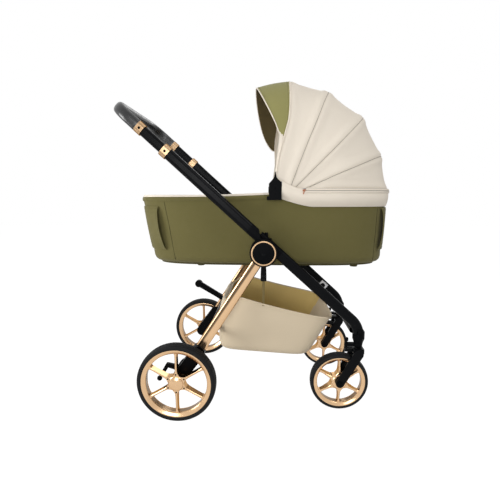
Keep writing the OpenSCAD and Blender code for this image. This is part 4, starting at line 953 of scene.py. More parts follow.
class PRAM_OT_wheels(Piece, bpy.types.Operator):
    """Rims with six fins and a star hub, and tyres with a grooved tread"""

    bl_idname = "pram.wheels"
    bl_label = "Wheels"

    # Height of the rim's face, how much narrower it is than its node, the hub's width and bore, the fins' face
    KINDS = {"rear": (0.014, 0.0, 0.032, 0.00605, 0.0165), "front": (0.012, 0.002, 0.036, 0.00505, 0.0155)}
    BARREL_SHARE = 0.36
    DIMPLE_AT = 0.0305

    def rim(self, name, centre, reach, face, wide, hub_wide, bore):
        gold = FINISHES["gold"]
        half, deep, lip = wide / 2, self.BARREL_SHARE * wide, reach - face
        ring = lathe("ring", mirrored([
            (reach, -half), (reach - 0.0012, -half - 0.0004), (reach - 0.0042, -half + 0.0002),
            (reach - 0.0060, -half + 0.0016), (lip + 0.0022, -deep - 0.0012), (lip + 0.0005, -deep + 0.0004),
            (lip, -deep + 0.003)]), centre, gold, 128)
        h = hub_wide / 2
        hub = lathe("hub", mirrored([(bore, -h), (0.0235, -h), (0.0255, -h + 0.002)]), centre, gold, 64)
        fin = self.fin(lip + 0.0015, 0.44 * wide, h - 0.0015)
        fins = grown(fin, self.fins, Count=sizes().spokes, Centre=tuple(centre))
        return joined(name, [ring, hub, fins])

    def fin(self, reach, rim_deep, hub_deep):
        """One spoke pointing up: a deep fin that flares into the hub and the rim."""
        corner = 0.0011
        # Distance from the axle, half width, and share of the way from the hub's depth to the rim's
        stations = ((0.019, 0.0150, 0.0), (0.026, 0.0105, 0.02), (0.031, 0.0066, 0.08), (0.036, 0.0044, 0.15),
                    (0.043, 0.0034, 0.25), (0.055, 0.0030, 0.42), (reach - 0.022, 0.0030, 0.78),
                    (reach - 0.009, 0.0034, 0.93), (reach - 0.004, 0.0046, 0.97), (reach, 0.0068, 1.0))
        points = []
        for r, half, share in stations:
            deep = lerp(hub_deep, rim_deep * 0.72, share)
            edge = [(x, y) for y, x in mirrored([(deep - corner, half), (deep, half - corner)])]
            points += [(x, y, r) for x, y in mirrored(edge)]
        return solid("fin", points, ring_faces(len(stations), 8), FINISHES["gold"], sharp=30)

    def tyre(self, name, centre, reach, rim, wide):
        half, crown, shoulder, groove = wide / 2, 0.0012, 0.0062, 0.0014
        right = [(rim, -half + 0.0012), (rim + 0.0016, -half + 0.0002), (rim + 0.0045, -half),
                 (reach - shoulder - 0.0012, -half + 0.0006)]
        for i in range(1, 5):
            t = math.radians(90 * i / 5)
            right.append((reach - crown - shoulder + shoulder * math.sin(t),
                          -half + 0.0006 + shoulder - shoulder * math.cos(t)))
        right += [(reach - crown * 0.5, -half * 0.48), (reach - crown * 0.4, -half * 0.37),
                  (reach - crown * 0.4 - groove, -half * 0.345), (reach - crown * 0.4 - groove, -half * 0.275),
                  (reach - crown * 0.3, -half * 0.25), (reach, -half * 0.1)]
        band = lathe("band", mirrored(right), centre, FINISHES["rubber"], 144)
        lug = self.lug(reach - crown - 0.0012, half)
        lugs = grown(lug, self.tread, Count=sizes().lugs, Centre=tuple(centre))
        return joined(name, [band, lugs])

    def lug(self, reach, half):
        """A pair of slanted bars, one on each shoulder of the tread."""
        points, faces = [], []
        for side in (-1, 1):
            first = len(points)
            for y, r, slant in ((half * 0.90, -0.0026, 0.0016), (half * 0.52, 0.0009, -0.0016)):
                for x, lift in ((-0.0017, -0.0006), (-0.0010, 0.0006), (0.0010, 0.0006), (0.0017, -0.0006)):
                    points.append((x + slant, side * y, reach + r + lift))
            faces += [[first + v for v in face] for face in ring_faces(2, 4)]
        return solid("lug", points, faces, FINISHES["rubber"], sharp=30)

    def make(self):
        self.fins = wheel_tree("wheel_fins", FINISHES["gold"])
        self.tread = wheel_tree("tread_lugs", FINISHES["rubber"])
        dimples = heads_tree("fin_dimples", FINISHES["moulded"])
        for end, (face, narrower, hub_wide, bore, fin_face) in self.KINDS.items():
            for side in ("left", "right"):
                low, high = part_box(f"{end}_tyre_{side}")
                rim_low, rim_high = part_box(f"{end}_rim_{side}")
                centre = (low + high) / 2
                body = f"{end}_wheel_{side}"
                wide, reach = rim_high.y - rim_low.y, (rim_high.z - rim_low.z) / 2
                rim = self.rim(f"{end}_rim_cast_{side}", centre, reach, face, wide - narrower, hub_wide, bore)
                settle(rim, body, "frame_gold", f"{end}_rim_{side}")
                # A dark band inside the barrel: painted shade and a painted reflection of dark surroundings.
                inner, deep = reach - face, self.BARREL_SHARE * wide - 0.005
                barrel = mirrored([(inner - 0.0005, -deep), (inner + 0.001, -deep - 0.001)])
                shadow = lathe(f"{end}_rim_barrel_{side}", barrel, centre, FINISHES["barrel"], 128)
                settle(shadow, body, "frame_gold")
                tyre = self.tyre(f"{end}_tyre_foam_{side}", centre, (high.z - low.z) / 2, reach, high.y - low.y)
                settle(tyre, body, "tyre_black", f"{end}_tyre_{side}")
                spots = [(centre + Vector((self.DIMPLE_AT * math.sin(t), way * (fin_face - 0.0014),
                                           self.DIMPLE_AT * math.cos(t))), (0, way, 0))
                         for t in angles(sizes().spokes) for way in (-1, 1)]
                dark = heads(f"{end}_fin_dimples_{side}", spots, dimples, 0.0026, 0.0016)
                settle(dark, body, "moulded_black")


class PRAM_OT_grip(Piece, bpy.types.Operator):
    """Leather cover of the push bar with its sewn seam"""

    bl_idname = "pram.grip"
    bl_label = "Grip"

    SLOPE = math.radians(42.3)
    OFFSET = 0.0274
    HANDLE_Y = 0.219
    BAR_AT = 0.666
    BEND = 0.072
    FROM = 0.5631
    DEEP = 0.0377
    WIDE = 0.0262
    SQUARE = 2.5
    COUNT = 36
    END_SHARE = 0.955

    def spot(self, along, y):
        """A point at a distance up the handle from the hub."""
        c, s = math.cos(self.SLOPE), math.sin(self.SLOPE)
        return Vector((HUB.x - along * c + self.OFFSET * s, y, HUB.z + along * s + self.OFFSET * c))

    def line(self):
        """Distances up the handle and across it, from one end of the grip round the bar to the other."""
        straight, turn, cross = 6, 18, 30
        inner, knee = self.HANDLE_Y - self.BEND, self.BAR_AT - self.BEND
        half = [(lerp(self.FROM, knee, i / straight), self.HANDLE_Y) for i in range(straight)]
        for i in range(turn):
            t = math.pi / 2 * i / turn
            half.append((knee + self.BEND * math.sin(t), inner + self.BEND * math.cos(t)))
        bar = [(self.BAR_AT, inner - 2 * inner * i / cross) for i in range(cross + 1)]
        return half + bar + [(a, -y) for a, y in half[::-1]]

    def outline(self, t, grow=0.0):
        return squared(self.WIDE / 2 + grow, self.DEEP / 2 + grow, self.SQUARE, t)

    def make(self):
        normal = Vector((math.sin(self.SLOPE), 0, math.cos(self.SLOPE)))
        path = [self.spot(a, y) for a, y in self.line()]
        last = len(path) - 1
        frames = []
        for i in range(last + 1):
            along = (path[min(i + 1, last)] - path[max(i - 1, 0)]).normalized()
            frames.append((along.cross(normal).normalized(), normal))
        section = []
        for t in angles(self.COUNT):
            x, z = self.outline(t)
            section.append((x * (1 - 0.055 * math.exp(-((t - math.pi) / 0.11) ** 2)), z))
        grip = sweep("leather_grip", path, frames, section, FINISHES["leather"])
        for ring in (0, last):
            for v in grip.data.vertices[ring * self.COUNT:(ring + 1) * self.COUNT]:
                v.co = path[ring] + (v.co - path[ring]) * self.END_SHARE
        settle(grip, "handle_upper", "grip_leather", "grip")

        def sewn(i, t, grow):
            x, z = self.outline(t, grow)
            return path[i] + frames[i][0] * x + frames[i][1] * z

        lines = [[sewn(i, math.pi + turn, 0.0002) for i in range(1, last)] for turn in (-0.34, 0.34)]
        lines += [[sewn(ring, FULL * i / self.COUNT, 0.0003) for i in range(self.COUNT + 1)]
                  for ring in (1, last - 1)]
        tree = beads_tree("grip_stitches", FINISHES["thread_grey"])
        settle(stitches("grip_seam_stitches", lines, tree, 1.1), "handle_upper", "grip_leather")


class PRAM_OT_cot(Piece, bpy.types.Operator):
    """Cot cover with its lining, rolled rim, end straps and seams"""

    bl_idname = "pram.cot"
    bl_label = "Cot"

    COUNT = 240
    WALL = 0.006
    SEWN_EDGE = 0.02
    EASE = 0.05
    WRINKLE = 0.0016
    DRAWN_IN = 0.0012
    STRAP_LOW = 0.552
    STRAP_OUT = 0.0034
    STRAP_BULGE = 0.0020
    STRAP_FLARE = 0.0105
    STRAP_WAVE = 0.0006
    STRAP_WALL = 0.0022
    # Which way an end lies, the strap's share of the cot's width and its upper edge, and the seams' share
    ENDS = (("foot", -1, 0.83, 0.702, 0.875), ("head", 1, 0.69, 0.698, 0.735))

    def skin(self, p, z):
        """A point of the cover, drawn in a little and softly uneven between the floor and the rim."""
        free = clamp((z - FLOOR_Z - self.SEWN_EDGE) / self.EASE)
        free *= clamp((RIM_Z - self.SEWN_EDGE - z) / self.EASE)
        low = noise.noise(Vector((p.x * 7, p.y * 7, p.z * 11)))
        fine = noise.noise(Vector((p.x * 19 + 5, p.y * 19, p.z * 23)))
        away = (p - Vector((COT_MID_X, 0, z))).normalized()
        return p + away * (self.WRINKLE * (0.7 * low + 0.3 * fine) - self.DRAWN_IN) * free

    def cover(self):
        # Height of each ring and how far it lies inside the outline, up the outside and down the inside
        outer = [(FLOOR_Z, 0.020), (FLOOR_Z + 0.0012, 0.0135), (FLOOR_Z + 0.004, 0.0080), (FLOOR_Z + 0.010, 0.003),
                 (FLOOR_Z + 0.016, 0.0010)]
        outer += [(lerp(FLOOR_Z + 0.022, RIM_Z - 0.012, i / 26), 0.0) for i in range(27)]
        outer += [(RIM_Z - 0.006, 0.0004), (RIM_Z - 0.001, 0.0016)]
        wall, deep = self.WALL, FLOOR_Z + 0.007
        inner = [(RIM_Z - 0.001, wall - 0.0016)]
        inner += [(lerp(RIM_Z - 0.008, deep + 0.020, i / 10), wall) for i in range(11)]
        inner += [(deep + 0.005, wall + 0.006), (deep, wall + 0.018)]
        rows = [[rim_fall(p) for p in cot_ring(z, inset, self.COUNT)] for z, inset in outer + inner]
        for i, (z, _) in enumerate(outer):
            rows[i] = [self.skin(p, z) for p in rows[i]]
        obj = shell("cot_cover", rows, 0, [FINISHES["olive"], FINISHES["lining"]],
                    lambda i, p: i >= len(outer) - 1)
        settle(obj, "cot", "cot_olive", "cot_shell")

    def rim(self):
        """Rolled hem over the cot's rim, the lining's edge above it and a sewn line below it."""
        height, n = sizes().hem, self.COUNT
        path = [rim_fall(p) for p in cot_ring(RIM_Z, 0.003, n)]
        frames = [((path[(i + 1) % n] - path[i - 1]).normalized().cross(UP), UP) for i in range(n)]
        hem = [(0.0034, -height), (0.0042, -height + 0.004), (0.0046, -0.0075), (0.0042, -0.0040),
               (0.0024, -0.0018), (0.0, -0.0012), (-0.0024, -0.0014), (-0.0044, -0.0030), (-0.0050, -0.006),
               (-0.0050, -height * 0.8), (-0.0040, -height * 0.85), (0.0030, -height)]
        edge = [(0.0006, -0.006), (0.0012, 0.0020), (0.0002, 0.0044), (-0.0024, 0.0054), (-0.0046, 0.0042),
                (-0.0054, 0.0018), (-0.0052, -0.006)]
        for name, section, finish, slot in (("cot_rim_hem", hem, "olive", "cot_olive"),
                                            ("cot_lining_edge", edge, "cream", "cloth_cream")):
            settle(sweep(name, path, frames, section, FINISHES[finish], True), "cot", slot)
        line = [p + f[0] * 0.0044 - UP * (height - 0.0030) for p, f in zip(path, frames)]
        settle(stitches("cot_rim_stitches", [line + line[:1]], self.tree), "cot", "cot_olive")

    def strap(self, name, side, reach, top_z):
        """A carrying strap across one end of the cot, sewn above and below and open at its sides."""
        up, wide = 22, 44
        last = math.asin(reach ** (COT_SQUARE / 2))
        rows = []
        for i in range(up + 1):
            z = lerp(self.STRAP_LOW, top_z, i / up)
            a, b, mid = cot_size(z)
            bulge = math.sin(math.pi * i / up)
            dense = []
            for j in range(241):
                part = 2 * j / 240 - 1
                edge = abs(part) ** 8
                swell = self.STRAP_OUT + self.STRAP_BULGE * bulge ** 0.6
                swell += self.STRAP_FLARE * edge * bulge ** 0.5
                swell += self.STRAP_WAVE * math.sin(5.2 * part + 1.3) * bulge * (1 - edge)
                x, y = squared(a + swell, b + swell, COT_SQUARE, last * part)
                dense.append(Vector((mid + side * x, y, z)))
            rows.append(evenly(dense, wide + 1))
        obj = cloth_sheet(f"{name}_strap", rows, self.STRAP_WALL, [FINISHES["olive"]],
                          Vector((COT_MID_X, 0, 0.63)))
        settle(obj, "cot", "cot_olive", "end_straps")
        declare_sheet(rows)
        lift = Vector((side * 0.0004, 0, 0))
        lines = [[p + lift for p in rows[i]] for i in (1, 3, up - 3, up - 1)]
        lines += [[row[j] + lift for row in rows[1:-1]] for j in (1, wide - 1)]
        settle(stitches(f"{name}_strap_stitches", lines, self.tree), "cot", "cot_olive")

    def seams(self, name, side, share):
        """Sewn lines down the cover beside an end strap."""
        turn = math.asin(share ** (COT_SQUARE / 2))
        for way, hand in SIDES:
            path = []
            for i in range(41):
                z = lerp(FLOOR_Z + 0.012, RIM_Z - 0.020, i / 40)
                a, b, mid = cot_size(z)
                x, y = squared(a, b, COT_SQUARE, turn)
                path.append(self.skin(rim_fall(Vector((mid + side * x, way * y, z))), z))
            obj = piping(f"cot_seam_{name}_{hand}", path, SEAM_RADIUS, FINISHES["seam_olive"], sides=6)
            settle(obj, "cot", "cot_olive")

    def make(self):
        self.tree = beads_tree("cot_stitches", FINISHES["thread_olive"])
        self.cover()
        self.rim()
        for name, side, reach, top_z, share in self.ENDS:
            self.strap(name, side, reach, top_z)
            self.seams(name, side, share)


class PRAM_OT_mattress(Piece, bpy.types.Operator):
    """Quilted mattress, swollen by a short cloth simulation and then sewn"""

    bl_idname = "pram.mattress"
    bl_label = "Mattress"

    COUNT = 120
    # Shares of the height, and how far a ring lies inside the cot's outline
    RINGS = ((0.0, 0.046), (0.08, 0.038), (0.3, 0.034), (0.6, 0.035), (0.8, 0.042), (0.88, 0.060), (0.9, 0.110))
    VOXEL = 0.008
    SWELL = 0.006
    PRESSURE = 4.0
    STEPS = 12
    SEWN_DEPTH = 0.0042
    SEWN_WIDTH = 0.006
    TOP_DEPTH = 0.02

    def start(self):
        low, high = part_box("mattress")
        base = low.z + 0.001
        rows = [cot_ring(base, inset, self.COUNT, base + (high.z - low.z) * share) for share, inset in self.RINGS]
        points = [p for row in rows for p in row]
        obj = piece("quilted_mattress", points, ring_faces(len(rows), self.COUNT), [FINISHES["mattress"]])
        remesh = obj.modifiers.new("even", "REMESH")
        remesh.mode = "VOXEL"
        remesh.voxel_size = self.VOXEL
        return plain(obj)

    def swell(self, obj):
        rest = [v.co.copy() for v in obj.data.vertices]
        cloth = obj.modifiers.new("swell", "CLOTH")
        cloth.settings.use_pressure = True
        cloth.settings.uniform_pressure_force = self.PRESSURE
        cloth.settings.effector_weights.gravity = 0
        cloth.settings.quality = 4
        scene = bpy.context.scene
        for step in range(1, self.STEPS + 1):
            scene.frame_set(step)
        deps = bpy.context.evaluated_depsgraph_get()
        moved = [v.co.copy() for v in obj.evaluated_get(deps).data.vertices]
        obj.modifiers.clear()
        scene.frame_set(1)
        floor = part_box("mattress")[0].z
        for v, a, b in zip(obj.data.vertices, rest, moved):
            shift = b - a
            if shift.length > self.SWELL:
                shift *= self.SWELL / shift.length
            place = a + shift
            v.co = Vector((place.x, place.y, max(place.z, floor + 0.0005)))

    def quilt(self, obj):
        """Sewn lines across the top in both directions, drawn in."""
        pitch = sizes().quilt
        top = max(v.co.z for v in obj.data.vertices)
        for v in obj.data.vertices:
            x, y = v.co.x - COT_MID_X, v.co.y
            near = min(abs((d / pitch) - round(d / pitch)) * pitch for d in (x + y, x - y)) / math.sqrt(2)
            part = max(0.0, (v.co.z - top + self.TOP_DEPTH) / self.TOP_DEPTH)
            v.co.z -= self.SEWN_DEPTH * part * math.exp(-(near / self.SEWN_WIDTH) ** 2)

    def make(self):
        obj = self.start()
        self.swell(obj)
        sub = obj.modifiers.new("smooth", "SUBSURF")
        sub.levels = sub.render_levels = 1
        plain(obj)
        self.quilt(obj)
        layer = obj.data.uv_layers.new(name="UVMap")
        for loop in obj.data.loops:
            p = obj.data.vertices[loop.vertex_index].co
            layer.data[loop.index].uv = (p.x + 0.3 * p.z, p.y + 0.3 * p.z)
        obj.data.shade_smooth()
        settle(obj, "cot", "mattress_white", "mattress")


class PRAM_OT_hood(Piece, bpy.types.Operator):
    """Hood panels between the bows, and the skirt round the head"""

    bl_idname = "pram.hood"
    bl_label = "Hood"

    CENTRE = Vector((HINGE.x + 0.12, 0, HINGE.z + 0.05))
    OVER = 0.008
    DIP = 0.0016
    DIP_WIDTH = 0.0035
    SAG = 0.0034
    PUFF = 0.0030
    PUFF_AT = 0.013
    PUFF_WIDTH = 0.010
    FULL_SPAN = 0.12
    EASE = 0.35
    RIPPLE = 0.0016
    ROWS = 18

    def shape(self, first, last, k):
        """Rows of points from one line to another, drawn in at the seams and slack between them."""
        rows = []
        for i in range(self.ROWS + 1):
            t = i / self.ROWS
            t -= self.EASE * math.sin(FULL * t) / FULL
            free = 4 * t * (1 - t)
            row = []
            for j, (a, b) in enumerate(zip(first, last)):
                p = a.lerp(b, t)
                span = (b - a).length
                out = Vector((p.x - self.CENTRE.x, p.y * 1.15, p.z - self.CENTRE.z)).normalized()
                edge = min(t, 1 - t) * span
                width = min(1.0, span / self.FULL_SPAN)
                ripple = noise.noise(Vector((j * 0.055 + 9 * k, t * 1.6, k))) * self.RIPPLE
                puff = self.PUFF * math.exp(-((edge - self.PUFF_AT) / self.PUFF_WIDTH) ** 2)
                dip = self.DIP * math.exp(-(edge / self.DIP_WIDTH) ** 2)
                row.append(p + out * ((puff * width - self.SAG * free + ripple * free) * width - dip))
            rows.append(row)
        return rows

    def turns(self, rows, first, last):
        """How far each point turns with the first line; cloth over a bow's strip turns with that bow."""
        columns = [arc_sums([row[j] for row in rows]) for j in range(len(rows[0]))]
        shares = []
        for i in range(len(rows)):
            for sums in columns:
                span = sums[-1]
                a, b = min(first, 0.45 * span), min(last, 0.45 * span)
                shares.append(1 - clamp((sums[i] - a) / (span - a - b)))
        return shares

    def panel(self, name, rows, node, body_a, body_b, last, rests_on):
        """A panel of the hood that stands for its CAD node, which is hidden. body_a and body_b are not used."""
        obj = cloth_sheet(name, rows, sizes().cloth, [FINISHES["cream"]], self.CENTRE)
        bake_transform(obj)
        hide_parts(node)
        declare_sheet(rows)

    def skirt_line(self, out):
        """The skirt's lower edge, round the head of the cot inside the apron."""
        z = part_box("head_skirt")[0].z
        half = BOW_HALF[3] + 0.0005 + out
        start = bow_point(3, PANEL_START[3], 0).x + 0.002
        corner = COT_MID_X + 0.185
        side, arc = 14, 64
        up = [Vector((lerp(start, corner, i / side), -half, z)) for i in range(side)]
        over = []
        for i in range(arc + 1):
            x, y = squared(COT_HALF_LEN - 0.001 + out, half, COT_SQUARE, math.radians(-75 + 150 * i / arc))
            over.append(Vector((COT_MID_X + x, y, z)))
        return up + over + [Vector((p.x, -p.y, p.z)) for p in up[::-1]]

    def seams(self, lines, out):
        """Piping on the front edge, a facing over the first bow's sides, and along the others thin dark
        tubes of painted shade in the sunk seams.
        """
        cream = FINISHES["cream"]
        front = piping("hood_front_piping", [p - Vector((0.0016, 0, 0)) for p in lines[0]], sizes().piping, cream)
        settle(front, "hood_bow_0", "cloth_cream")
        for k in (1, 2, 3):
            # A thin dark tube in each seam, painted shade.
            obj = piping(f"hood_seam_shade_{k}", lines[k][1:-1], SEAM_RADIUS, FINISHES["seam"], sides=6)
            settle(obj, f"hood_bow_{k}", "cloth_cream")
        for way, name in SIDES:
            rows = [[bow_point(0, 0.056 + 0.112 * i / 16, way * (BOW_HALF[0] + out)) + Vector((across, 0, 0))
                     for i in range(17)] for across in (0.0044, -0.0006, -0.0056)]
            obj = cloth_sheet(f"hood_facing_{name}", rows, sizes().cloth, [cream], Vector((HINGE.x, 0, HINGE.z)))
            settle(obj, "hood_bow_0", "cloth_cream")

    def make(self):
        out = BOW_GAP + sizes().cloth
        lines = [bow_line(k, out) for k in range(4)]
        for k in range(3):
            self.panel(f"hood_panel_{k}", self.shape(lines[k], lines[k + 1], k), f"gore_{k}", f"hood_bow_{k + 1}",
                       f"hood_bow_{k}", self.OVER, [f"bow_{k}", f"bow_{k + 1}"])
        self.panel("hood_skirt", self.shape(lines[3], self.skirt_line(out), 3), "head_skirt", "cot", "hood_bow_3",
                   0, ["bow_3", "apron_cover"])
        self.seams(lines, out)


class PRAM_OT_visor(Piece, bpy.types.Operator):
    """Olive visor in front of the first bow, lined and piped"""

    bl_idname = "pram.visor"
    bl_label = "Visor"

    SKIP = 13
    DROP = 0.019
    POWER = 0.78
    STEPS = 16
    WALL = 0.0022
    PIPING = 0.0019

    def make(self):
        line = bow_line(0, BOW_GAP + sizes().cloth)
        used = line[self.SKIP:len(line) - self.SKIP]
        length = sizes().visor
        rows = []
        for i in range(self.STEPS + 1):
            t = i / self.STEPS
            row = []
            for j, p in enumerate(used):
                reach = 0.004 + length * math.sin(math.pi * j / (len(used) - 1)) ** self.POWER
                bow = 0.0012 * math.sin(math.pi * t) * reach / length
                row.append(Vector((p.x - 0.0038 - reach * t, p.y * (1 - 0.02 * t * t),
                                   p.z - self.DROP * (0.55 * t + 0.45 * t * t) * reach / length + bow)))
            rows.append(row)
        obj = cloth_sheet("visor_cover", rows, self.WALL, [FINISHES["visor"], FINISHES["olive_in"]],
                          Vector((HINGE.x, 0, HINGE.z + 0.1)))
        settle(obj, "hood_bow_0", "cot_olive", "visor")
        declare_sheet(rows)
        edge = [p + Vector((0.0003, 0, -0.0009)) for p in rows[-1]]
        settle(piping("visor_piping", edge, self.PIPING, FINISHES["cream"]), "hood_bow_0", "cloth_cream")
        tree = beads_tree("visor_stitches", FINISHES["thread_olive"])
        lines = [[p + UP * 0.0004 for p in rows[i]] for i in (self.STEPS - 1, 1)]
        settle(stitches("visor_edge_stitches", lines, tree), "hood_bow_0", "cot_olive")


class PRAM_OT_apron(Piece, bpy.types.Operator):
    """Cream apron round the head of the cot, with its zip"""

    bl_idname = "pram.apron"
    bl_label = "Apron"

    TOP_Z = 0.758
    LOW_Z = 0.702
    SHOULDER_Z = 0.784
    FALL = 0.080
    RISE = 0.025
    RUN = 0.105
    AHEAD = 0.0046
    CLEAR = 0.0005
    SPREAD = 0.62
    PUFF = 0.0012
    RIPPLE = 0.0008
    ROLL = 0.0016
    ROLL_PART = 0.12
    COLS = 160
    ROWS = 16
    MID_X = COT_MID_X + 0.2
    ZIP_FROM = 0.075
    # Row, share of the way to the row below, and distance out of the zip's lines
    TEETH = (ROWS - 1, 0.2, 0.0030)
    WELTS = (("upper", ROWS, 0.3, 0.0006), ("lower", ROWS - 2, 0.2, 0.0004))
    # Name, row, share, distance out and radius of each dark line of painted shade beside the welts
    SHADE_LINES = (("tape", ROWS - 1, 0.2, 0.0022, 0.0016), ("fold", ROWS, -0.8, 0.0022, 0.0009))

    def away(self, p):
        return Vector((p.x - self.MID_X, p.y, 0)).normalized()

    def make(self):
        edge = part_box("apron")[0].x
        wall = sizes().cloth

        def top_z(x):
            return lerp(self.SHOULDER_Z, self.TOP_Z, math.sin(math.pi / 2 * clamp((x - edge) / self.FALL)))

        def low_z(x):
            return self.LOW_Z + self.RISE * (1 - clamp((x - edge) / self.RUN)) ** 1.4

        def ring(a, b, mid):
            last = math.acos(((edge - mid) / a) ** (COT_SQUARE / 2))
            dense = [squared(a, b, COT_SQUARE, last * (2 * i / 600 - 1)) for i in range(601)]
            return evenly([Vector((mid + x, y, 0)) for x, y in dense], self.COLS + 1)

        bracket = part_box("hood_brackets")[1].y
        upper = ring(COT_HALF_LEN + self.AHEAD, bracket - 0.0006, COT_MID_X)
        rings, lower = {}, []
        for j, p in enumerate(upper):
            a, b, mid = cot_size(low_z(p.x))
            outline = (a + self.CLEAR + wall, b + self.CLEAR + wall, mid)
            key = tuple(round(v, 6) for v in outline)
            if key not in rings:
                rings[key] = ring(*outline)
            lower.append(rings[key][j])
        rows = []
        for i in range(self.ROWS + 1):
            t = i / self.ROWS
            share = math.sin(math.pi / 2 * min(1.0, t / self.SPREAD)) ** 0.9
            roll = -self.ROLL * max(0.0, (t - (1 - self.ROLL_PART)) / self.ROLL_PART) ** 2
            row = []
            for j, (p, q) in enumerate(zip(upper, lower)):
                spot = Vector((lerp(q.x, p.x, share), lerp(q.y, p.y, share), lerp(low_z(p.x), top_z(p.x), t)))
                ripple = self.RIPPLE * noise.noise(Vector((j * 0.09, t * 2, 7)))
                puff = self.PUFF * math.sin(math.pi * t) + ripple
                row.append(spot + self.away(spot) * ((puff + roll) if 0 < i < self.ROWS else roll))
            rows.append(row)
        obj = cloth_sheet("apron_cover", rows, wall, [FINISHES["cream"]], Vector((self.MID_X, 0, 0.72)))
        settle(obj, "cot", "cloth_cream", "apron")
        declare_sheet(rows)
        tree = beads_tree("apron_stitches", FINISHES["thread_cream"])
        line = [p + self.away(p) * 0.0005 for p in rows[1]]
        settle(stitches("apron_hem_stitches", [line], tree), "cot", "cloth_cream")
        self.fastener(rows, edge + self.ZIP_FROM)

    def fastener(self, rows, start):
        """A zip along the upper edge: two welts, dark lines of painted shade beside them, dark teeth between
        the welts, and a puller at each end.
        """
        def along(row, share, out, start=start):
            return [p.lerp(q, share) + self.away(p) * out for p, q in zip(rows[row], rows[row - 1]) if p.x > start]

        for name, row, share, out in self.WELTS:
            path = along(row, share, out)
            welt = sweep(f"zip_welt_{name}", path, carried(path), oval(0.0030, 0.0040, 12), FINISHES["cream"])
            settle(welt, "cot", "cloth_cream")
        # Dark piping beside the welts, painted shade.
        for name, row, share, out, radius in self.SHADE_LINES:
            line = piping(f"zip_{name}", along(row, share, out), radius, FINISHES["seam"], sides=6)
            settle(line, "cot", "cloth_cream")
        tree = beads_tree("zip_teeth", FINISHES["seam"])
        settle(stitches("zip_teeth", [along(*self.TEETH)], tree, 1.8), "cot", "cloth_cream")
        row, share, _ = self.TEETH
        for way, name in SIDES:
            path = [p for p in along(row, share, 0.0016, start - 0.006) if p.y * way > 0]
            spot = min(path, key=lambda p: p.x)
            slider = ((0.010, 0, 0), (0.004, 0, 0.0005), (-0.003, 0, 0))
            pull = ((0.002, way * 0.0012, -0.001), (0.001, way * 0.0022, -0.006), (-0.001, way * 0.0022, -0.012))
            made = []
            for label, offsets, wide in (("slider", slider, 0.0030), ("pull", pull, 0.0017)):
                path = [spot + Vector(offset) for offset in offsets]
                frames = carried(path, up=Vector((0, way, 0)))
                made.append(sweep(label, path, frames, oval(wide, 0.0013, 10), FINISHES["copper"]))
            settle(joined(f"zip_puller_{name}", made), "cot", "frame_gold")


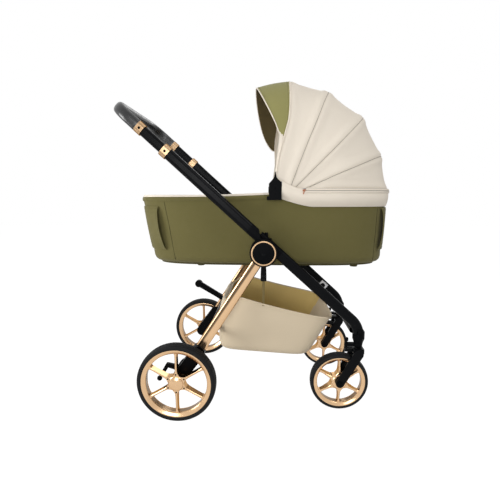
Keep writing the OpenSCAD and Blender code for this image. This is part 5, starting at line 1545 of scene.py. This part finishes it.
class PRAM_OT_basket(Piece, bpy.types.Operator):
    """Shopping basket of two cloths that sags between the legs"""

    bl_idname = "pram.basket"
    bl_label = "Basket"

    # Ends along X from the hub, heights at those ends, and half-width, at the upper edge and the floor
    TOP = (-0.128, 0.242, 0.408, 0.318, 0.184)
    LOW = (-0.164, 0.168, 0.194, 0.175, 0.152)
    SQUARE = 6.5
    COLS = 180
    WALL = 0.0025
    HEM_RADIUS = 0.0032
    CUT = 0.034
    FOLD = 0.004
    DRAWN_IN = 0.003
    DIP = 0.006
    LINED_FROM_Y = 0.125

    def ring(self, s, inset):
        """A ring at a share of the height. The rear wall is steeper, and its upper corners are cut."""
        _, x1, z0, z1, half = (lerp(low, top, s) for low, top in zip(self.LOW, self.TOP))
        x0 = HUB.x + lerp(self.LOW[0], self.TOP[0], s ** 5) + inset
        x1 = HUB.x + x1 - inset
        dense = []
        for t in angles(720):
            x, y = squared(1, 1, self.SQUARE, t)
            share = (x + 1) / 2
            cut = self.CUT * max(0.0, s / 0.2 - 4) ** 2 * math.exp(-(share / 0.07) ** 2)
            dense.append(Vector((lerp(x0, x1, share), y * (half - inset), lerp(z0, z1, share) - cut)))
        return evenly(dense, self.COLS, True)

    def sag(self, p, s):
        """Slack in the walls and along the upper edge."""
        along = clamp((p.x - HUB.x - self.TOP[0]) / (self.TOP[1] - self.TOP[0]))
        wall = math.sin(math.pi * s) if s < 1 else 0
        fold = noise.noise(Vector((p.x * 11, p.y * 6, p.z * 9))) * self.FOLD * wall
        dip = -self.DIP * math.sin(math.pi * along) * s ** 3 * (1 if abs(p.y) > 0.1 else 0.4)
        side = math.copysign(1, p.y) if abs(p.y) > 0.12 else 0
        return Vector((0, side * (fold - self.DRAWN_IN * wall), dip))

    def make(self):
        wall = self.WALL
        outer = [(0, 0.012), (0.012, 0.0065), (0.04, 0.003), (0.08, 0.0009)]
        outer += [(0.12 + 0.88 * i / 16, 0) for i in range(17)]
        inner = [(1 - 0.86 * i / 12, wall) for i in range(13)] + [(0.06, wall + 0.003), (0.025, wall + 0.013)]
        rows = [[p + self.sag(p, s) for p in self.ring(s, inset)] for s, inset in outer + inner]
        cloth = shell("basket_cloth", rows, len(outer) // 2, [FINISHES["beige"], FINISHES["basket_in"]],
                      lambda i, p: i >= len(outer) and abs(p.y) >= self.LINED_FROM_Y)
        settle(cloth, "chassis", "basket_beige", "basket")
        self.straps()
        edge = [p + UP * 0.0005 for p in rows[len(outer) - 1]]
        hem = piping("basket_hem", edge, self.HEM_RADIUS, FINISHES["beige"], True)
        settle(hem, "chassis", "basket_beige")
        for obj in (cloth, hem):
            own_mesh(obj)

    def straps(self):
        """Webbing that hangs the basket from each hub, sewn to a loop of the lining."""
        low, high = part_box("basket_straps")
        half, end = (high.x - low.x) / 2, HUB.z - 0.103
        tree = beads_tree("strap_stitches", FINISHES["thread_grey"])
        hem = lerp(self.TOP[2], self.TOP[3], -self.TOP[0] / (self.TOP[1] - self.TOP[0]))
        # Height, share of the width and distance out of each row
        web = ((end, 0.72, 0.0034), (end + 0.0015, 0.92, 0.0036), (end + 0.005, 1.0, 0.0036),
               (end + 0.018, 1.0, 0.0034), (end + 0.036, 0.94, 0.0030), (high.z - 0.004, 0.84, 0.0028),
               (high.z, 0.82, 0.0030))
        loop = ((end + 0.014, 1, 0.0016), (end - 0.010, 1, 0.0014), (hem + 0.008, 1, 0.0012),
                (hem - 0.010, 1, 0.0014), (low.z, 1, 0.0014))
        for way, name in SIDES:
            def band(stations, wide):
                return [[Vector((HUB.x + wide * share * half * (j / 4 - 1), way * (self.TOP[4] + out), z))
                         for j in range(9)] for z, share, out in stations]

            rows = band(web, 1.18)
            obj = cloth_sheet(f"strap_webbing_{name}", rows, 0.0016, [FINISHES["webbing"]], Vector((HUB.x, 0, 0.45)))
            settle(obj, "chassis", "webbing_black", "basket_straps")
            lines = [[p + Vector((0, way * 0.0003, 0)) for p in row[1:-1]] for row in rows[2:4]]
            settle(stitches(f"strap_stitches_{name}", lines, tree), "chassis", "webbing_black")
            # The loop's darkened lining colour is painted shade.
            obj = cloth_sheet(f"strap_loop_painted_shade_{name}", band(loop, 0.5), 0.0012, [FINISHES["loop"]],
                              Vector((HUB.x, 0, 0.40)))
            settle(obj, "chassis", "basket_beige")


class PRAM_OT_fittings(Piece, bpy.types.Operator):
    """Screws on the handle's collars and the hood's brackets"""

    bl_idname = "pram.fittings"
    bl_label = "Fittings"

    # Node, piece, body and radius of the heads
    SCREWS = (("handle_collars", "handle_collars_screws", "handle_lower", 0.0042),
              ("grip_collars", "grip_collars_screws", "handle_upper", 0.0042),
              ("hood_brackets", "bracket_screws", "cot", 0.0034))
    HEIGHT = 0.0009

    def make(self):
        tree = heads_tree("dark_screws", FINISHES["moulded"])
        for node, name, body, radius in self.SCREWS:
            low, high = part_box(node)
            at = HINGE if node == "hood_brackets" else (low + high) / 2
            spots = [(Vector((at.x, way * high.y, at.z)), (0, way, 0)) for way in (-1, 1)]
            settle(heads(name, spots, tree, radius, self.HEIGHT), body, "moulded_black")


OPERATORS = (PRAM_OT_stage, PRAM_OT_frame, PRAM_OT_wheels, PRAM_OT_grip, PRAM_OT_cot, PRAM_OT_mattress,
             PRAM_OT_hood, PRAM_OT_visor, PRAM_OT_apron, PRAM_OT_basket, PRAM_OT_fittings)


class PRAM_PT_panel(bpy.types.Panel):
    """Lists the pram's pieces, sizes and colours"""

    bl_idname = "PRAM_PT_panel"
    bl_label = "Bassinet pram"
    bl_space_type = "VIEW_3D"
    bl_region_type = "UI"
    bl_category = "Pram"

    def draw(self, context):
        for operator in OPERATORS:
            self.layout.operator(operator.bl_idname)
        for group in (context.scene.pram_sizes, context.scene.pram_colours):
            box = self.layout.box()
            for name in group.__annotations__:
                box.prop(group, name)


CLASSES = (PramColours, PramSizes, *OPERATORS, PRAM_PT_panel)


def register():
    for each in CLASSES:
        bpy.utils.register_class(each)
    bpy.types.Scene.pram_colours = PointerProperty(type=PramColours)
    bpy.types.Scene.pram_sizes = PointerProperty(type=PramSizes)


def unregister():
    del bpy.types.Scene.pram_sizes
    del bpy.types.Scene.pram_colours
    for each in reversed(CLASSES):
        bpy.utils.unregister_class(each)


def main():
    register()
    for operator in OPERATORS:
        group, name = operator.bl_idname.split(".")
        getattr(getattr(bpy.ops, group), name)()


if __name__ == "__main__":
    main()
